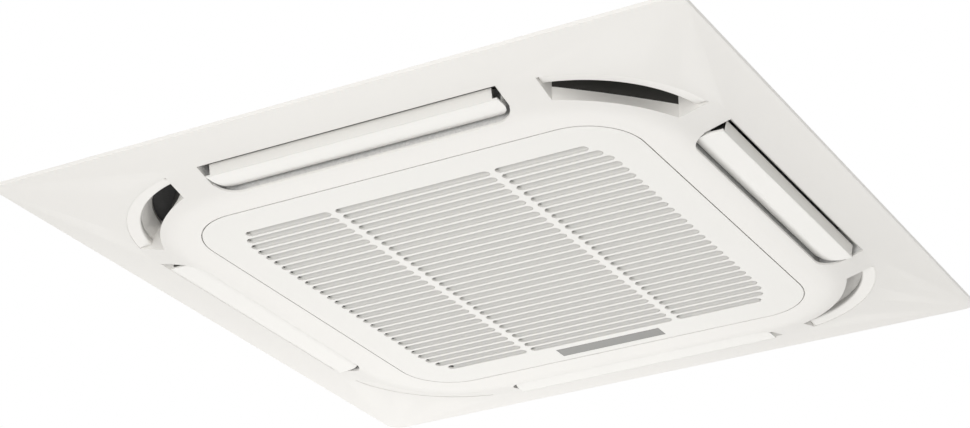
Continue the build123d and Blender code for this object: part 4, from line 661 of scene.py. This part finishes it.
fins = Shape("coil_fins", pitch=0.0024, sheet=0.00018, depth=COIL_DEPTH, height=coil_high.z - coil_low.z,
             side=coil_high.x - coil_low.x - COIL_DEPTH, corner=0.070, opening=COIL_OPEN,
             level=(coil_low.z + coil_high.z) / 2)
square = fins.node("GeometryNodeCurvePrimitiveQuadrilateral", Width=fins["side"], Height=fins["side"])
route = fins.node("GeometryNodeFilletCurve", {"mode": "POLY"}, Curve=square, Radius=fins["corner"],
                  Count=24, Limit_Radius=True)
points = fins.tree.nodes.new("GeometryNodeCurveToPoints")
points.mode = "LENGTH"
fins.set(points, {"Curve": route, "Length": fins["pitch"]})
spots, along = (Value(fins.tree, points.outputs[name]) for name in ("Points", "Tangent"))
where = fins.tree.nodes.new("ShaderNodeSeparateXYZ")
fins.set(where, {"Vector": fins.node("GeometryNodeInputPosition")})
past_x, past_y = (Value(fins.tree, where.outputs[axis]) > fins["opening"] for axis in "XY")
in_gap = past_x * past_y
heading = fins.node("FunctionNodeAlignRotationToVector", {"axis": "X", "pivot_axis": "Z"},
                    Vector=along)
plates = fins.node("GeometryNodeInstanceOnPoints", Points=spots, Selection=in_gap < 0.5, Rotation=heading,
                   Instance=fins.box(fins["sheet"], fins["depth"], fins["height"]))
aluminium = Finish("fin_aluminium", Metallic=1.0)
patina = aluminium.noise(14.0, 4.0)
aluminium.set(aluminium.shader, {
    "Base Color": aluminium.mix(patina, (0.66, 0.67, 0.68), (0.80, 0.81, 0.82)),
    "Roughness": patina * 0.15 + 0.32,
})
fin_pack = fins.placed(plates, spot=fins.vector(0.0, 0.0, fins["level"]))
fins.piece(fin_pack, "fin_pack", aluminium.material, "casing", "coil_fins")

# ----------------------------------------------------------------------------
# Copper: return bends, headers and the two refrigerant pipes, with brass unions on their ends
# The unions' spigots carry a fine rolled thread.
# ----------------------------------------------------------------------------
def bare_metal(name, bright, dull, roughness):
    """Bare copper or brass: bright where it was handled, browned in soft patches."""
    finish = Finish(name, Metallic=1.0)
    brown = finish.noise(30.0, 5.0)
    finish.set(finish.shader, {
        "Base Color": finish.mix(brown, dull, bright),
        "Roughness": brown * -0.15 + roughness,
    })
    finish.bump(finish.noise(400.0), 0.12, 0.00005)
    return finish.material


copper = bare_metal("drawn_copper", (0.82, 0.42, 0.28), (0.46, 0.22, 0.14), 0.40)
dress(copper, "coil_tubes")
welded("gas_pipe", "casing", copper)
welded("liquid_pipe", "casing", copper)
brass = bare_metal("machined_brass", (0.80, 0.62, 0.30), (0.58, 0.42, 0.19), 0.36)
dress(brass, "flare_unions")

union_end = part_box("flare_unions")[1].x
THREAD_LENGTH = 0.016
GAS_THREAD = ("gas_thread", 0.250, -0.030, 0.01111)
LIQUID_THREAD = ("liquid_thread", 0.222, 0.002, 0.00794)
for name, y, z, radius in (GAS_THREAD, LIQUID_THREAD):
    thread = Shape(name, radius=radius, pitch=0.0016, length=THREAD_LENGTH - 0.002, ridge=0.00045)
    helix = thread.node("GeometryNodeCurveSpiral", Resolution=28, Start_Radius=thread["radius"],
                        End_Radius=thread["radius"], Height=thread["length"],
                        Rotations=thread["length"].math("DIVIDE", thread["pitch"]))
    profile = thread.node("GeometryNodeCurvePrimitiveCircle", Resolution=4, Radius=thread["ridge"])
    ridges = thread.node("GeometryNodeCurveToMesh", Curve=helix, Profile_Curve=profile, Fill_Caps=True)
    spot = (union_end - THREAD_LENGTH + 0.001, y, z)
    thread.piece(thread.placed(ridges, spot=spot, turn=(0, math.pi / 2, 0)), name, brass, "casing")

# ----------------------------------------------------------------------------
# Drain: pump with its impeller and bracket, float switch, hose and the socket in the side
# Pump, switch and socket are moulded plastic; the hose between pump and socket is rubber.
# ----------------------------------------------------------------------------
dress(motor_plastic, "drain_pump", "float_switch")
dress(moulded("drain_plastic", (0.42, 0.43, 0.44), 0.38), "pump_impeller", "drain_socket")
dress(rubbery("hose_rubber", (0.30, 0.31, 0.31), 0.5), "drain_hose")

# ----------------------------------------------------------------------------
# Control: circuit board and terminals in the box, and the nylon gland for the supply cable
# The board is the same green laminate as the display's; the terminals are black plastic.
# ----------------------------------------------------------------------------
dress(board_green, "circuit_board")
dress(moulded("terminal_plastic", (0.035, 0.035, 0.035), 0.4), "terminal_block")
dress(moulded("gland_nylon", (0.03, 0.03, 0.03), 0.35), "cable_gland")

# ----------------------------------------------------------------------------
# Screws: pan heads with a cross recess, round the top edge of the casing
# A flattened ball is cut by two crossed bars, and stands in pairs on the four long sides.
# ----------------------------------------------------------------------------
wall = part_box("casing_sides")[1].x
screw_low, screw_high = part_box("casing_screws")

heads = Shape("casing_screws", head=0.0045, rise=0.0025, recess=0.0028, blade=0.0009, reach=0.200,
              wall=wall, level=(screw_low.z + screw_high.z) / 2)
dome = heads.node("GeometryNodeMeshUVSphere", Segments=24, Rings=12, Radius=heads["head"])
dome = heads.node("GeometryNodeTransform", Geometry=dome,
                  Scale=heads.vector(1.0, heads["rise"].math("DIVIDE", heads["head"]), 1.0))
cross = heads.joined(heads.box(heads["recess"] * 2, heads["rise"], heads["blade"]),
                     heads.box(heads["blade"], heads["rise"], heads["recess"] * 2))
cross = heads.placed(cross, spot=heads.vector(0.0, heads["rise"], 0.0))
head = heads.tree.nodes.new("GeometryNodeMeshBoolean")
head.operation = "DIFFERENCE"
head.solver = "MANIFOLD"
heads.tree.links.new(dome.socket, head.inputs["Mesh 1"])
heads.tree.links.new(cross.socket, head.inputs["Mesh 2"])
flat_head = heads.node("GeometryNodeSetShadeSmooth", Shade_Smooth=False,
                       Geometry=Value(heads.tree, head.outputs["Mesh"]))
pair = heads.node("GeometryNodeInstanceOnPoints", Instance=flat_head,
                  Points=heads.row(2, heads.vector(heads["reach"] * -1, heads["wall"], heads["level"]),
                                   heads.vector(heads["reach"] * 2, 0.0, 0.0)))
quarter_turns = heads.vector(0.0, 0.0, heads.node("GeometryNodeInputIndex") * (math.pi / 2))
ring = heads.node("GeometryNodeInstanceOnPoints", Instance=pair, Rotation=quarter_turns,
                  Points=heads.row(4, (0, 0, 0), (0, 0, 0)))
heads.piece(ring, "screw_heads", steel, "casing", "casing_screws")
